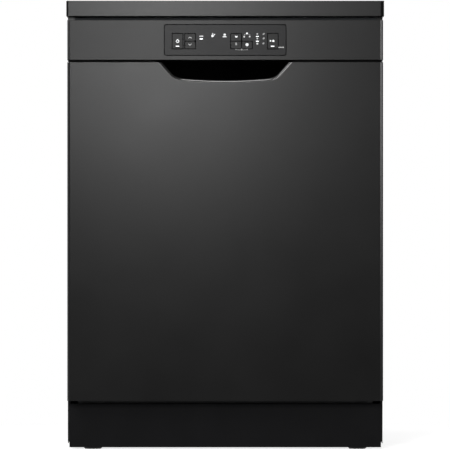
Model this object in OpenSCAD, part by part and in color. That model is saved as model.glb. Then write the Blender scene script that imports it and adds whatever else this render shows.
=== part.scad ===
// Dishwasher, 60 cm class, with a drop-down door, two racks and a lift-off worktop.
// Frame: origin on the floor under the centre of the machine, +Z up, the door faces -Y.
// Rest pose: door shut, racks in, feet screwed right in.

/* [Overall] */
// Height with the worktop on and the feet screwed in
overall_h = 845; // [835:1:860]
// Width of the worktop
overall_w = 598; // [592:1:606]
// Depth from the door face to the rear of the worktop
overall_d = 600; // [590:1:620]

/* [Worktop] */
// Thickness of the worktop
worktop_t = 30; // [26:1:34]
// How far the worktop stands out beyond each side panel
worktop_lip = 2; // [1:0.5:3]
// How far the front edge of the worktop sits behind the door face
worktop_setback = 8; // [4:1:14]
// Radius of the upright corners of the worktop
worktop_corner_r = 4; // [2:0.5:8]
// Depth of the hollow under the worktop
worktop_hollow = 6; // [3:1:10]

/* [Cabinet] */
// Thickness of every metal sheet
sheet = 1; // [0.8:0.1:1.2]
// Width of the folded edges of the side panels
side_flange_w = 13; // [12:0.5:13]
// Height of the lower edge of the side panels above the floor
side_foot_z = 11; // [9:1:16]
// Free space between the tub and each side panel
side_gap = 15; // [14.5:0.5:16]
// Free space between the tub's back and the rear panel
rear_gap = 34; // [30:1:40]
// Height of the front crossbar
crossbar_h = 21; // [19:1:24]

/* [Door] */
// Thickness of the door
door_t = 48; // [46:1:50]
// Gap between the shut door and the cabinet
door_gap = 6; // [5.5:0.5:7]
// Height of the door's lower edge above the floor
door_foot_z = 92; // [90:1:94]
// Hinge axis behind the door face
hinge_inset = 25; // [24:0.5:26]
// Hinge axis above the door's lower edge
hinge_rise = 25; // [24:0.5:26]
// Radius of the hinge pin
hinge_pin_r = 4; // [3:0.5:5]
// Radius of the upright front edges of the door and the console
door_edge_r = 8; // [6:0.5:9]
// Height of the control console's fascia
console_h = 75; // [72:1:78]
// Gap between the console and the worktop
console_top_gap = 6.5; // [5:0.5:8]
// Gap between the console and the door panel
console_gap = 4; // [3:0.5:5]
// Thickness of the console's front wall
fascia_t = 4.5; // [4:0.1:5]

/* [Handle recess] */
// Half width of the recess at its top edge
recess_top_w = 125; // [115:1:130]
// Half width of the recess at its bottom edge
recess_low_w = 98; // [85:1:105]
// Height of the recess
recess_h = 33.7; // [28:0.1:38]
// Length over which each lower corner is rounded
recess_round = 20; // [15:1:30]
// Sag of the recess's lower edge at its middle
recess_sag = 2.5; // [0:0.5:3]
// Depth of the lip that is turned in round the recess
recess_lip = 8; // [4:0.5:12]

/* [Controls] */
// Width of the control insert
insert_w = 230; // [226:1:236]
// Height of the control insert
insert_h = 59; // [55:1:62]
// Thickness of the control insert
insert_t = 2; // [1.5:0.1:2.4]
// How deep the insert sits below the fascia
insert_sink = 0.8; // [0.4:0.1:1]
// Width of every key
key_w = 19; // [17:0.5:19.5]
// Height of a small key
key_h = 13; // [11:0.5:13.5]
// Height of the two tall keys
tall_key_h = 28; // [24:0.5:30]
// Travel of a key
key_travel = 1; // [0.6:0.1:1]
// Gap around each key
key_gap = 0.35; // [0.25:0.05:0.4]

/* [Plinth and feet] */
// Plinth face behind the door face
plinth_setback = 50; // [49:0.5:51]
// Height of the plinth's lower edge above the floor
plinth_foot_z = 6; // [4:1:9]
// Gap between the plinth and the door
plinth_gap = 6; // [5:0.5:8]
// Distance from the plinth's end to the side of the cabinet
plinth_inset = 3; // [2:0.5:5]
// Distance of each foot from the side of the cabinet
foot_inset = 47; // [42:1:57]
// Radius of the foot's pad
foot_r = 18; // [16:0.5:20]
// Radius of the foot's threaded stud
foot_stud_r = 8; // [6:0.5:9]
// How far a foot screws out
foot_travel = 40; // [20:1:42]

/* [Tub and racks] */
// Width of the tub's front frame on each side
tub_frame_w = 17; // [16:0.5:18]
// Height of the tub floor above the inside of the opened door
track_step = 8; // [7:0.5:10]
// Radius of the rack wire
wire_r = 2; // [1.6:0.1:2.4]
// Free space between the lower rack and the tub's front frame, on each side
lower_rack_gap = 20; // [18:1:24]
// Height of the lower rack's floor above the tub floor
lower_rack_lift = 57; // [54:1:62]
// Height of the lower rack's sides
lower_rack_h = 117; // [100:1:130]
// Height of the plate tines
tine_h = 80; // [60:1:85]
// Radius of the lower rack's wheels
wheel_r = 18; // [16:0.5:19]
// Free space between the upper rack and the tub's front frame, on each side
upper_rack_gap = 42; // [41:1:48]
// Spacing of the rack's wires across the machine
rack_pitch_x = 42; // [38:1:46]
// Spacing of the rack's wires from front to back
rack_pitch_y = 45; // [40:1:48]
// Spacing of the plate tines along their rows
tine_pitch = 35; // [30:1:38]
// Height of the upper rack's floor above the tub floor
upper_rack_lift = 357; // [345:1:365]
// Height of the upper rack's sides
upper_rack_h = 95; // [85:1:105]
// Radius of the lower spray arm's sweep
lower_arm_r = 225; // [200:1:228]
// Radius of the upper spray arm's sweep
upper_arm_r = 205; // [180:1:212]

/* [Water parts] */
// Wall of the plastic water parts
moulding_t = 3; // [2.5:0.1:3.5]
// Radius of the sump bowl
sump_r = 110; // [108:0.5:114]
// Radius of the coarse filter cup
filter_r = 28; // [24:0.5:30]
// Radius of the salt container's cap
salt_cap_r = 34; // [32:0.5:38]
// Width of the softener's tank
softener_w = 136; // [120:1:140]
// Length of the softener's tank from front to back
softener_len = 168; // [150:1:172]
// Height of the water chamber beside the tub
chamber_h = 370; // [300:5:400]
// Length of the water chamber from front to back
chamber_len = 250; // [200:5:280]
// Thickness of the water chamber
chamber_t = 11; // [8:0.5:12]
// Outer radius of the water inlet's thread
inlet_thread_r = 13.2; // [12:0.1:14]
// Outer radius of the drain spigot
drain_r = 11; // [9.5:0.5:12]
// Radius of the mains cable's hole
cable_hole_r = 4.5; // [3.5:0.1:5]

/* [Hidden] */
fit = 0.3;                 // gap that seats one piece on another
shaft_fit = 0.1;           // gap round a shaft that turns
weld = 0.4;                // how far crossing wires sink into each other
wire_sides = 8;            // the wires have an octagonal section
wire_pitch = 2 * wire_r - weld;

// Cabinet and door planes
hx = overall_w / 2;
bx = hx - worktop_lip;
front_y = -overall_d / 2;
rear_y = overall_d / 2;
door_back_y = front_y + door_t;
body_front_y = door_back_y + door_gap;
panel_rear_y = rear_y - 3;
worktop_z = overall_h - worktop_t;
worktop_front_y = front_y + worktop_setback;
console_top_z = worktop_z - console_top_gap;
console_z = console_top_z - console_h;
door_top_z = console_z - console_gap;
hinge_y = front_y + hinge_inset;
hinge_z = door_foot_z + hinge_rise;
side_inner = bx - sheet;
flange_in = bx - side_flange_w;
flange_foot_z = hinge_z + 48;

// Tub
tub_floor_z = hinge_z + door_back_y - hinge_y + track_step;
tub_x = side_inner - side_gap;
tub_in = tub_x - sheet;
tub_back_y = panel_rear_y - sheet - rear_gap;
tub_roof_z = worktop_z - sheet - crossbar_h;
tub_foot_z = tub_floor_z - sheet;
frame_outer = tub_x + 2;
frame_in = frame_outer - tub_frame_w;
arm_y = (body_front_y + tub_back_y) / 2;

// Base
base_wall = 3;
base_x = side_inner - fit;
base_in = base_x - base_wall;
base_front_y = body_front_y + 8;
base_floor_z = 14;
base_deck_z = base_floor_z + base_wall;
foot_x = bx - foot_inset;
foot_boss_r = foot_stud_r + 8;
foot_front_y = base_front_y + foot_stud_r + 15;
foot_rear_y = tub_back_y - base_wall - foot_stud_r - 23;
pipe_z = 75;
pipe_r = 11;
pipe_bore_r = 8;
elbow_r = pipe_r + 1.5;

plinth_y = front_y + plinth_setback;

// Hinges
plate_t = 3;
bracket_x = base_in - plate_t;
arm_plate_x = bracket_x - 1 - plate_t;
tail_len = 40;
tail_angle = -17;
tail_y = hinge_y + tail_len * cos(tail_angle);
tail_z = hinge_z + tail_len * sin(tail_angle);
hinge_notch_x = arm_plate_x - 2;
track_z = hinge_z + 88;
spring_x = arm_plate_x - 1.5;
spring_lug_y = base_front_y + 178;

// Water parts
filter_x = 44;
filter_y = arm_y - 54;
well_r = filter_r + 6;
sump_rim_z = tub_foot_z - 9;
sump_foot_z = sump_rim_z - 46;
post_r = 14;
post_top_z = tub_floor_z + 20;
filter_plate_z = tub_floor_z - 7;
pump_z = 66;
pump_x = sump_r + 4;
drain_x = -40;
softener_x = -sump_r - 4;
salt_x = softener_x - 51;
softener_y = foot_front_y + foot_boss_r + 14;
salt_y = softener_y + 90;
neck_r = salt_cap_r - 3;
feed_y = tub_back_y - base_wall - pipe_r - 2;
inlet_x = -bx + 107;
inlet_z = 70;
cable_x = bx - 82;
grommet_r = cable_hole_r + 3.5;
cable_z = 80;
lower_arm_z = tub_floor_z + 24;

// Racks
lower_z = tub_floor_z + lower_rack_lift;
upper_z = tub_floor_z + upper_rack_lift;
rack_front_y = body_front_y + 18;
rack_rear_y = feed_y - pipe_r - 7;
rack_y = [rack_front_y + 6, rack_rear_y - 4];
rack_mid_y = (rack_y[0] + rack_y[1]) / 2;
outer_wire = rack_pitch_y * floor(((rack_y[1] - rack_y[0]) / 2 - 12) / rack_pitch_y);
lower_rack_hw = frame_in - lower_rack_gap;
upper_rack_hw = frame_in - upper_rack_gap;
wheel_y = [rack_mid_y - outer_wire + 14, rack_mid_y + outer_wire - 15];
wheel_z = tub_floor_z + wheel_r + fit;
wheel_x = frame_in - 3;
wheel_w = 9.5;
carrier_top_z = lower_z + 18;
axle_r = 4;
floor_top_z = wire_pitch + wire_r;
tine_y = [for (n = [-3, -1, 3]) rack_mid_y + n * rack_pitch_y + (n > 0 ? 4 : -6)];
fold_y = rack_mid_y + rack_pitch_y - 6;
basket_w = 87;
basket_x1 = lower_rack_hw - 24;
basket_x0 = basket_x1 - basket_w;
tine_x0 = -lower_rack_hw + 36;
tine_x1 = basket_x0 - 30;
basket_y0 = rack_front_y + 26;
basket_len = 260;
basket_h = 118;
basket_z = lower_z + floor_top_z + fit;
rail_z = upper_z + 60;
rail_out = frame_in - 1.5;
rail_in = rail_out - 18.5;
rail_web = rail_out - 8.5;
rail_h = 24;
rail_t = 1.5;
roller_r = rail_h / 2 - rail_t - 0.5;
feed_tube_r = 9;
upper_feed_z = upper_z - wire_r - fit - feed_tube_r;
upper_arm_z = upper_feed_z - 27;
upper_post_r = 8;
shelf_x = -upper_rack_hw + 11;
shelf_z = upper_z + upper_rack_h - 28;
shelf_w = 80;
cup_tine_h = 55;

// Controls
insert_z = (console_z + console_top_z) / 2;
insert_y = front_y + insert_sink;
key_front_y = front_y + 0.3;
pcb_y = front_y + 12.4;
pcb_t = 1.6;
row_high_z = insert_z + 5;
row_low_z = row_high_z - key_h - 1.5;
tall_z = (row_high_z + row_low_z) / 2;
power_x = -89.5;
select_x = -66;
option_x = 20.5;
start_x = 89.5;
KEYS = [[power_x, tall_z, tall_key_h], [select_x, row_high_z, key_h], [select_x, row_low_z, key_h],
    [option_x, row_high_z, key_h], [option_x, row_low_z, key_h], [option_x + key_w + 1.5, row_low_z, key_h],
    [start_x, tall_z, tall_key_h]];

// Detergent dispenser, on the inside of the door
disp_x = 85;
disp_z0 = tub_floor_z + 252;
disp_h = 160;
disp_depth = 36;
disp_z1 = disp_z0 + disp_h;
disp_face_y = door_back_y + 6;
cup = [-70, 5, disp_z1 - 82, disp_z1 - 15];
lid_travel = 66;
rinse_x = 50;
rinse_z = disp_z1 - 45;
rinse_r = 16;

satin_black = "#2b2b2d";
deep_black = "#141415";
steel = "#b8bbbf";
zinc = "#9a9da1";
grey_wire = "#8d9298";
grey_plastic = "#6f7479";
white_plastic = "#e4e5e3";

// ---- Shapes that repeat ----

// A box between its low and its high corner
module block(lo, hi) {
    translate(lo) cube(hi - lo);
}

module both_sides() {
    children();
    mirror([1, 0, 0]) children();
}

// Cylinders along X, Y and Z from one end to the other
module rod_x(r, x0, x1, y, z) {
    translate([x0, y, z]) rotate([0, 90, 0]) cylinder(r = r, h = x1 - x0, $fn = 48);
}

module rod_y(r, y0, y1, x, z) {
    translate([x, y0, z]) rotate([-90, 0, 0]) cylinder(r = r, h = y1 - y0, $fn = 48);
}

module rod_z(r, z0, z1, x, y) {
    translate([x, y, z0]) cylinder(r = r, h = z1 - z0, $fn = 48);
}

// A straight wire between two points
module wire(a, b) {
    d = b - a;
    translate(a) rotate([0, acos(d.z / norm(d)), atan2(d.y, d.x)])
        cylinder(r = wire_r, h = norm(d), $fn = wire_sides);
}

// A wire bent into a U that opens upwards: half width w, height h, in the XZ plane
module u_wire(w, h) {
    bend = 4 * wire_r;
    wire([-w + bend, 0, 0], [w - bend, 0, 0]);
    for (s = [-1, 1]) {
        wire([s * w, 0, bend], [s * w, 0, h]);
        translate([s * (w - bend), 0, bend]) rotate([90, 0, 0]) rotate([0, 0, s < 0 ? 180 : 270])
            rotate_extrude(angle = 90, $fn = 24) translate([bend, 0]) circle(r = wire_r, $fn = wire_sides);
    }
}

// A basket of crossed U wires with two rims, its floor at z = 0
module wire_basket(hw, y0, y1, h) {
    mid_y = (y0 + y1) / 2;
    half_d = (y1 - y0) / 2;
    nx = floor((hw - 18) / rack_pitch_x);
    ny = floor((half_d - 12) / rack_pitch_y);
    for (i = [-ny : ny]) translate([0, mid_y + i * rack_pitch_y, 0]) u_wire(hw, h);
    for (i = [-nx : nx]) translate([i * rack_pitch_x, mid_y, wire_pitch]) rotate([0, 0, 90])
        u_wire(half_d, h - wire_pitch);
    for (z = [h * 0.5, h - wire_r]) {
        both_sides() wire([hw + wire_pitch, y0 - wire_pitch, z], [hw + wire_pitch, y1 + wire_pitch, z]);
        for (y = [y0 - wire_pitch, y1 + wire_pitch])
            wire([-hw - 2 * wire_pitch, y, z - wire_pitch], [hw + 2 * wire_pitch, y, z - wire_pitch]);
    }
}

// A slab with rounded upright corners, its underside at z = 0
module rounded_slab(w, d, h, r) {
    linear_extrude(h) {
        square([w - 2 * r, d], center = true);
        square([w, d - 2 * r], center = true);
        for (x = [-1, 1], y = [-1, 1]) translate([x * (w / 2 - r), y * (d / 2 - r)]) circle(r = r, $fn = 48);
    }
}

// Plan outline of a door part: half width hw from y0 back to y1, its two front corners rounded
module rounded_front(hw, y0, y1, r) {
    translate([-hw, y0 + r]) square([2 * hw, y1 - y0 - r]);
    translate([-hw + r, y0]) square([2 * (hw - r), r + 1]);
    for (s = [-1, 1]) translate([s * (hw - r), y0 + r]) circle(r = r, $fn = 48);
}

// ---- Cabinet ----

module worktop() {
    rim = side_flange_w + 9;
    color(satin_black) difference() {
        translate([0, (worktop_front_y + rear_y) / 2, worktop_z])
            rounded_slab(overall_w, rear_y - worktop_front_y, worktop_t, worktop_corner_r);
        block([-hx + rim, worktop_front_y + rim, worktop_z - 1],
            [hx - rim, rear_y - rim, worktop_z + worktop_hollow]);
    }
}

rear_screw_z = [flange_foot_z + 40, (flange_foot_z + worktop_z) / 2, worktop_z - 40];
rear_screw_x = bx - 7;
rear_foot_z = tub_foot_z + 3;

module side_panel() {
    color(satin_black) difference() {
        union() {
            block([side_inner, body_front_y, side_foot_z], [bx, panel_rear_y, worktop_z]);
            block([flange_in, body_front_y, flange_foot_z], [bx, body_front_y + sheet, worktop_z]);
            block([flange_in, body_front_y, worktop_z - sheet], [bx, panel_rear_y, worktop_z]);
            block([flange_in, panel_rear_y - sheet, rear_foot_z], [bx, panel_rear_y, worktop_z]);
        }
        for (z = rear_screw_z) rod_y(2.2, panel_rear_y - 5, panel_rear_y + 1, rear_screw_x, z);
    }
}

module rear_panel() {
    color(zinc) difference() {
        union() {
            block([-side_inner, panel_rear_y, rear_foot_z],
                [side_inner, panel_rear_y + sheet, worktop_z - sheet]);
            for (z = rear_screw_z)
                block([-bx + 60, panel_rear_y + sheet, z - 8], [bx - 60, panel_rear_y + sheet + 1.5, z + 8]);
        }
        both_sides() for (z = rear_screw_z) rod_y(2.2, panel_rear_y - 1, panel_rear_y + 5, rear_screw_x, z);
    }
}

module rear_screws() {
    color(zinc) both_sides() for (z = rear_screw_z) {
        rod_y(2, panel_rear_y - 9, panel_rear_y + sheet + 0.5, rear_screw_x, z);
        rod_y(4.5, panel_rear_y + sheet, panel_rear_y + sheet + 1.8, rear_screw_x, z);
    }
}

module front_crossbar() {
    y = body_front_y + sheet;
    strike_z = tub_roof_z + 3;
    color(deep_black) {
        block([-side_inner, y, tub_roof_z], [side_inner, y + sheet, worktop_z - sheet]);
        block([-side_inner, y, worktop_z - 2 * sheet], [side_inner, y + 30, worktop_z - sheet]);
        block([-11, door_back_y - 14, strike_z], [11, y + sheet, strike_z + 4]);
    }
}

module foot_boss_bore(x, y) {
    rod_z(foot_stud_r + shaft_fit, base_floor_z - 1, base_floor_z + foot_travel + 20, x, y);
}

module base_tray() {
    wall_top = tub_foot_z;
    rear = tub_back_y;
    color(deep_black) difference() {
        union() {
            block([-base_x, base_front_y, base_floor_z], [base_x, rear, base_deck_z]);
            both_sides() block([base_in, base_front_y, base_floor_z], [base_x, rear, wall_top]);
            block([-spring_x + 6, base_front_y, base_floor_z],
                [spring_x - 6, base_front_y + base_wall, wall_top]);
            block([-base_x, rear - base_wall, base_floor_z], [base_x, rear, wall_top]);
            both_sides() for (y = [foot_front_y, foot_rear_y])
                rod_z(foot_boss_r, base_floor_z, base_floor_z + foot_travel + 10, foot_x, y);
            both_sides() block([bx - 107, plinth_y + sheet, 40], [bx - 83, base_front_y + 1, 60]);
            both_sides()
                block([spring_x - 5, spring_lug_y, tail_z - 12],
                    [base_in + 1, spring_lug_y + 6, tail_z + 12]);
        }
        both_sides() for (y = [foot_front_y, foot_rear_y]) foot_boss_bore(foot_x, y);
        rod_y(drain_r + 2 + fit, rear - 10, rear + 5, drain_x, pump_z);
        rod_y(inlet_thread_r + 3 + fit, rear - 10, rear + 5, inlet_x, inlet_z);
        rod_y(grommet_r + fit, rear - 10, rear + 5, cable_x, cable_z);
    }
    color(deep_black) difference() {
        union() {
            rod_y(grommet_r, rear - 12, rear + 10, cable_x, cable_z);
            for (y = [rear - base_wall - fit - 2, rear + fit])
                rod_y(grommet_r + 3, y, y + 2, cable_x, cable_z);
        }
        rod_y(cable_hole_r, rear - 13, rear + 11, cable_x, cable_z);
    }
}

module plinth() {
    px = bx - plinth_inset;
    top = door_foot_z - plinth_gap;
    color(satin_black) {
        block([-px, plinth_y, plinth_foot_z], [px, plinth_y + sheet, top]);
        both_sides() block([px - sheet, plinth_y, plinth_foot_z], [px, plinth_y + 8, top]);
        block([-px, plinth_y, top - sheet], [px, plinth_y + 7, top]);
    }
}

module foot(x, y) {
    color(deep_black) translate([x, y, 0]) {
        cylinder(r1 = foot_r - 3, r2 = foot_r, h = 3, $fn = 48);
        translate([0, 0, 3]) cylinder(r = foot_r, h = 6, $fn = 48);
        cylinder(r = foot_stud_r + 4, h = base_floor_z, $fn = 6);
        cylinder(r = foot_stud_r, h = base_floor_z + foot_travel + 4, $fn = 48);
    }
}

// ---- Tub ----

module tub_wrapper() {
    color(steel) {
        both_sides() block([tub_in, body_front_y, tub_foot_z], [tub_x, tub_back_y, tub_roof_z]);
        block([-tub_x, body_front_y, tub_roof_z - sheet], [tub_x, tub_back_y, tub_roof_z]);
        both_sides()
            block([frame_in, body_front_y, tub_floor_z], [frame_outer, body_front_y + sheet, tub_roof_z + 1]);
        block([-frame_outer, body_front_y, tub_roof_z - tub_frame_w],
            [frame_outer, body_front_y + sheet, tub_roof_z + 1]);
    }
}

module tub_back() {
    color(steel) block([-tub_x, tub_back_y, tub_foot_z], [tub_x, tub_back_y + sheet, tub_roof_z]);
}

funnel_r = sump_r + 40;

module tub_floor() {
    color(steel) {
        difference() {
            block([-tub_in, body_front_y, tub_foot_z], [tub_in, tub_back_y, tub_floor_z]);
            rod_z(funnel_r, tub_foot_z - 1, tub_floor_z + 1, 0, arm_y);
            rod_z(neck_r + fit, tub_foot_z - 1, tub_floor_z + 1, salt_x, salt_y);
            rod_z(pipe_r + fit, tub_foot_z - 1, tub_floor_z + 1, 0, feed_y);
        }
        translate([0, arm_y, 0]) rotate_extrude($fn = 96) polygon([[funnel_r + 0.01, tub_floor_z],
            [sump_r, sump_rim_z + sheet], [sump_r - 6, sump_rim_z + sheet], [sump_r - 6, sump_rim_z],
            [sump_r, sump_rim_z], [funnel_r + 0.01, tub_foot_z]]);
        block([-tub_in, body_front_y, tub_foot_z - 22], [tub_in, body_front_y + sheet, tub_floor_z]);
    }
}

// Three strips with butt joints round the tub's mouth, and the seal below it
module door_gasket() {
    in = frame_in + 2;
    strip_w = 11;
    y0 = door_back_y + fit;
    top = tub_roof_z - 3;
    color(deep_black) {
        both_sides() block([in, y0, tub_floor_z], [in + strip_w, body_front_y, top - strip_w - fit / 2]);
        block([-in - strip_w, y0, top - strip_w], [in + strip_w, body_front_y, top]);
        block([-frame_in, y0, tub_foot_z - 20], [frame_in, body_front_y, tub_floor_z - 2]);
    }
}

module wall_rollers() {
    front_inset = 14;
    rear_inset = 200;
    color(grey_plastic) both_sides() for (y = [rack_front_y + front_inset, rack_front_y + rear_inset]) {
        rod_x(roller_r, rail_web + 1.5, rail_out - 0.5, y, rail_z);
        rod_x(4, rail_out - 1, tub_in - 2, y, rail_z);
        rod_x(15, tub_in - 2.5, tub_in, y, rail_z);
    }
}

// ---- Hinges ----

module hinge_brackets() {
    color(zinc) both_sides() {
        block([bracket_x, hinge_y, hinge_z - 2], [base_in, base_front_y + 88, hinge_z + 12]);
        rod_x(9, bracket_x, base_in, hinge_y, hinge_z);
        rod_x(hinge_pin_r, arm_plate_x - 1, base_in, hinge_y, hinge_z);
    }
}

module hinge_arm_plate() {
    rise = 220;
    block([arm_plate_x, hinge_y - 10, hinge_z + 5],
        [arm_plate_x + plate_t, door_back_y - sheet, hinge_z + rise]);
    rod_x(11, arm_plate_x, arm_plate_x + plate_t, hinge_y, hinge_z);
    translate([arm_plate_x, hinge_y, hinge_z]) rotate([tail_angle, 0, 0])
        translate([0, 0, -5]) cube([plate_t, tail_len, 10]);
    rod_x(6.5, arm_plate_x, arm_plate_x + plate_t, tail_y, tail_z);
}

module hinge_arms() {
    color(zinc) both_sides() difference() {
        hinge_arm_plate();
        rod_x(hinge_pin_r + shaft_fit / 2, arm_plate_x - 1, arm_plate_x + plate_t + 1, hinge_y, hinge_z);
        rod_x(2.5, arm_plate_x - 1, arm_plate_x + plate_t + 1, tail_y, tail_z);
    }
}

// Each spring hooks into the hinge arm's tail and a lug in the base
module door_springs() {
    color(zinc) both_sides() {
        rod_x(2.3, spring_x - 1, arm_plate_x + plate_t + 0.5, tail_y, tail_z);
        rod_y(1.2, tail_y, tail_y + 24, spring_x, tail_z);
        rod_y(4.5, tail_y + 22, spring_lug_y - 14, spring_x, tail_z);
        rod_y(1.2, spring_lug_y - 15, spring_lug_y, spring_x, tail_z);
    }
}

// ---- Water parts ----

module sump_housing() {
    color(grey_plastic) difference() {
        union() {
            rod_z(sump_r, sump_foot_z, sump_rim_z, 0, arm_y);
            rod_z(well_r + moulding_t, pump_z - 24, sump_foot_z + 1, filter_x, filter_y);
            rod_z(post_r, pipe_z - 15, sump_foot_z + 1, 0, arm_y);
            rod_x(pipe_r, 0, 30, arm_y, pipe_z);
            rod_y(pipe_r, arm_y, arm_y + 22, 0, pipe_z);
            rod_x(13, filter_x, pump_x, filter_y, pump_z);
            rod_x(10, -10, filter_x, filter_y, pump_z);
        }
        difference() {
            rod_z(sump_r - 6, sump_foot_z + moulding_t, sump_rim_z + 1, 0, arm_y);
            rod_z(post_r, sump_foot_z, sump_rim_z + 2, 0, arm_y);
        }
        rod_z(well_r, pump_z - 24 + moulding_t, sump_foot_z + moulding_t + 1, filter_x, filter_y);
        rod_z(post_r - moulding_t, pipe_z - 12, sump_rim_z + 2, 0, arm_y);
        rod_x(pipe_bore_r, 0, 31, arm_y, pipe_z);
        rod_y(pipe_bore_r, arm_y, arm_y + 23, 0, pipe_z);
        rod_x(10, filter_x, pump_x + 1, filter_y, pump_z);
        rod_x(7, -11, filter_x, filter_y, pump_z);
    }
    color(grey_plastic) difference() {
        rod_z(post_r, sump_rim_z - 1, post_top_z, 0, arm_y);
        rod_z(post_r - moulding_t, sump_rim_z - 2, post_top_z + 1, 0, arm_y);
    }
}

module circulation_pump() {
    volute_r = pump_z - base_deck_z - 3;
    volute_len = 36;
    pump_len = 128;
    foot_half = 26;
    outlet_x = pump_x + volute_len / 2;
    color(white_plastic) {
        rod_x(volute_r, pump_x, pump_x + volute_len, filter_y, pump_z);
        rod_x(volute_r - 6, pump_x + volute_len, pump_x + pump_len, filter_y, pump_z);
        for (x = [pump_x + 50, pump_x + 104])
            block([x, filter_y - foot_half, base_deck_z], [x + 12, filter_y + foot_half, pump_z - 30]);
        rod_y(pipe_r, filter_y, arm_y, outlet_x, pipe_z);
        rod_x(pipe_r, 30, outlet_x, arm_y, pipe_z);
        rod_z(elbow_r, pipe_z - elbow_r, pipe_z + elbow_r, outlet_x, arm_y);
    }
}

module drain_pump() {
    color(white_plastic) {
        rod_x(24, -72, -10, filter_y, pump_z);
        block([-62, filter_y - 16, base_deck_z], [-20, filter_y + 16, pump_z - 16]);
        rod_y(9, filter_y, filter_y + 31, drain_x, pump_z);
    }
}

module drain_hose() {
    rear = tub_back_y;
    color(grey_plastic) difference() {
        union() {
            rod_y(9, filter_y + 31, rear - 8, drain_x, pump_z);
            rod_y(drain_r + 2, rear - 8, rear + 2, drain_x, pump_z);
            rod_y(drain_r, rear + 2, rear + 28, drain_x, pump_z);
        }
        rod_y(7, filter_y + 30, rear + 29, drain_x, pump_z);
    }
}

module water_softener() {
    color(white_plastic) difference() {
        union() {
            block([softener_x - softener_w, softener_y, base_deck_z],
                [softener_x, softener_y + softener_len, tub_foot_z - 12]);
            rod_z(neck_r, tub_foot_z - 13, tub_floor_z + 3, salt_x, salt_y);
            rod_z(neck_r + 6, tub_floor_z + fit, tub_floor_z + 3, salt_x, salt_y);
        }
        rod_z(neck_r - 7, base_deck_z + 40, tub_floor_z + 4, salt_x, salt_y);
    }
}

module salt_cap() {
    z = tub_floor_z + 3 + fit;
    color(grey_plastic) {
        rod_z(salt_cap_r, z, z + 10, salt_x, salt_y);
        rod_z(neck_r - 7 - fit, z - 9, z + 1, salt_x, salt_y);
        block([salt_x - salt_cap_r + 4, salt_y - 4, z + 9], [salt_x + salt_cap_r - 4, salt_y + 4, z + 16]);
    }
}

module inlet_valve() {
    rear = tub_back_y;
    color(white_plastic) difference() {
        union() {
            block([inlet_x - 20, rear - 57, inlet_z - 25], [inlet_x + 20, rear - 6, inlet_z + 25]);
            block([inlet_x - 13, rear - 50, inlet_z + 24], [inlet_x + 13, rear - 20, inlet_z + 52]);
            rod_y(inlet_thread_r + 3, rear - 7, rear + 2, inlet_x, inlet_z);
            rod_y(inlet_thread_r, rear + 2, rear + 24, inlet_x, inlet_z);
        }
        rod_y(9, rear - 10, rear + 25, inlet_x, inlet_z);
    }
}

module inlet_chamber() {
    x = -tub_x - fit;
    tube_x = x - chamber_t / 2;
    tube_r = 4.5;
    y = tub_back_y - 82;
    z = inlet_z - 10;
    foot_z = tub_floor_z + 42;
    color(white_plastic) {
        block([x - chamber_t, y + 10 - chamber_len, foot_z], [x, y + 10, foot_z + chamber_h]);
        rod_z(tube_r, z - tube_r, foot_z + 1, tube_x, y);
        rod_x(tube_r, tube_x, inlet_x + tube_r, y, z);
        rod_y(tube_r, y, tub_back_y - 57, inlet_x, z);
    }
}

module spray_feed_pipe() {
    top = tub_roof_z - sheet - fit;
    duct = 16;
    y1 = tub_back_y - fit;
    color(grey_plastic) difference() {
        union() {
            rod_y(pipe_r, arm_y + 22, feed_y, 0, pipe_z);
            rod_z(elbow_r, pipe_z - elbow_r, pipe_z + elbow_r, 0, feed_y);
            rod_z(pipe_r, pipe_z, tub_floor_z + 3, 0, feed_y);
            block([-18, feed_y - pipe_r - 2, tub_floor_z], [18, y1, tub_floor_z + 26]);
            block([-18, y1 - duct, tub_floor_z + 1], [18, y1, top]);
            block([-18, arm_y, top - duct], [18, y1, top]);
            rod_z(32, top - 32, top - duct + 1, 0, arm_y);
            rod_y(12, rack_rear_y + 6, y1 - duct + 1, 0, upper_feed_z);
        }
        rod_y(pipe_bore_r, arm_y + 21, feed_y, 0, pipe_z);
        rod_z(pipe_bore_r + 1, pipe_z - pipe_bore_r - 1, tub_floor_z + 13, 0, feed_y);
        block([-16, y1 - duct + 2, tub_floor_z + 4], [16, y1 - 2, top - 2]);
        rod_y(6, rack_rear_y + 5, y1 - duct + 3, 0, upper_feed_z);
    }
}

module filter_plate() {
    slope = (tub_floor_z - sump_rim_z - sheet) / (funnel_r - sump_r);
    r = sump_r + (filter_plate_z - sump_rim_z - sheet) / slope - 0.5;
    color(steel) difference() {
        rod_z(r, filter_plate_z, filter_plate_z + 1.2, 0, arm_y);
        rod_z(post_r + 0.5, filter_plate_z - 1, filter_plate_z + 2, 0, arm_y);
        rod_z(filter_r + 0.6, filter_plate_z - 1, filter_plate_z + 2, filter_x, filter_y);
    }
}

module coarse_filter() {
    z = filter_plate_z + 1.2 + fit;
    color(grey_plastic) difference() {
        union() {
            rod_z(filter_r, pump_z + 4, z + 1, filter_x, filter_y);
            rod_z(filter_r + 6, z, z + 3, filter_x, filter_y);
            for (y = [filter_y - filter_r - 2, filter_y + filter_r + 2])
                block([filter_x - 7, y - 4, z + 2], [filter_x + 7, y + 4, z + 12]);
        }
        rod_z(filter_r - 2, pump_z + 6, z + 13, filter_x, filter_y);
    }
}

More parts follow.
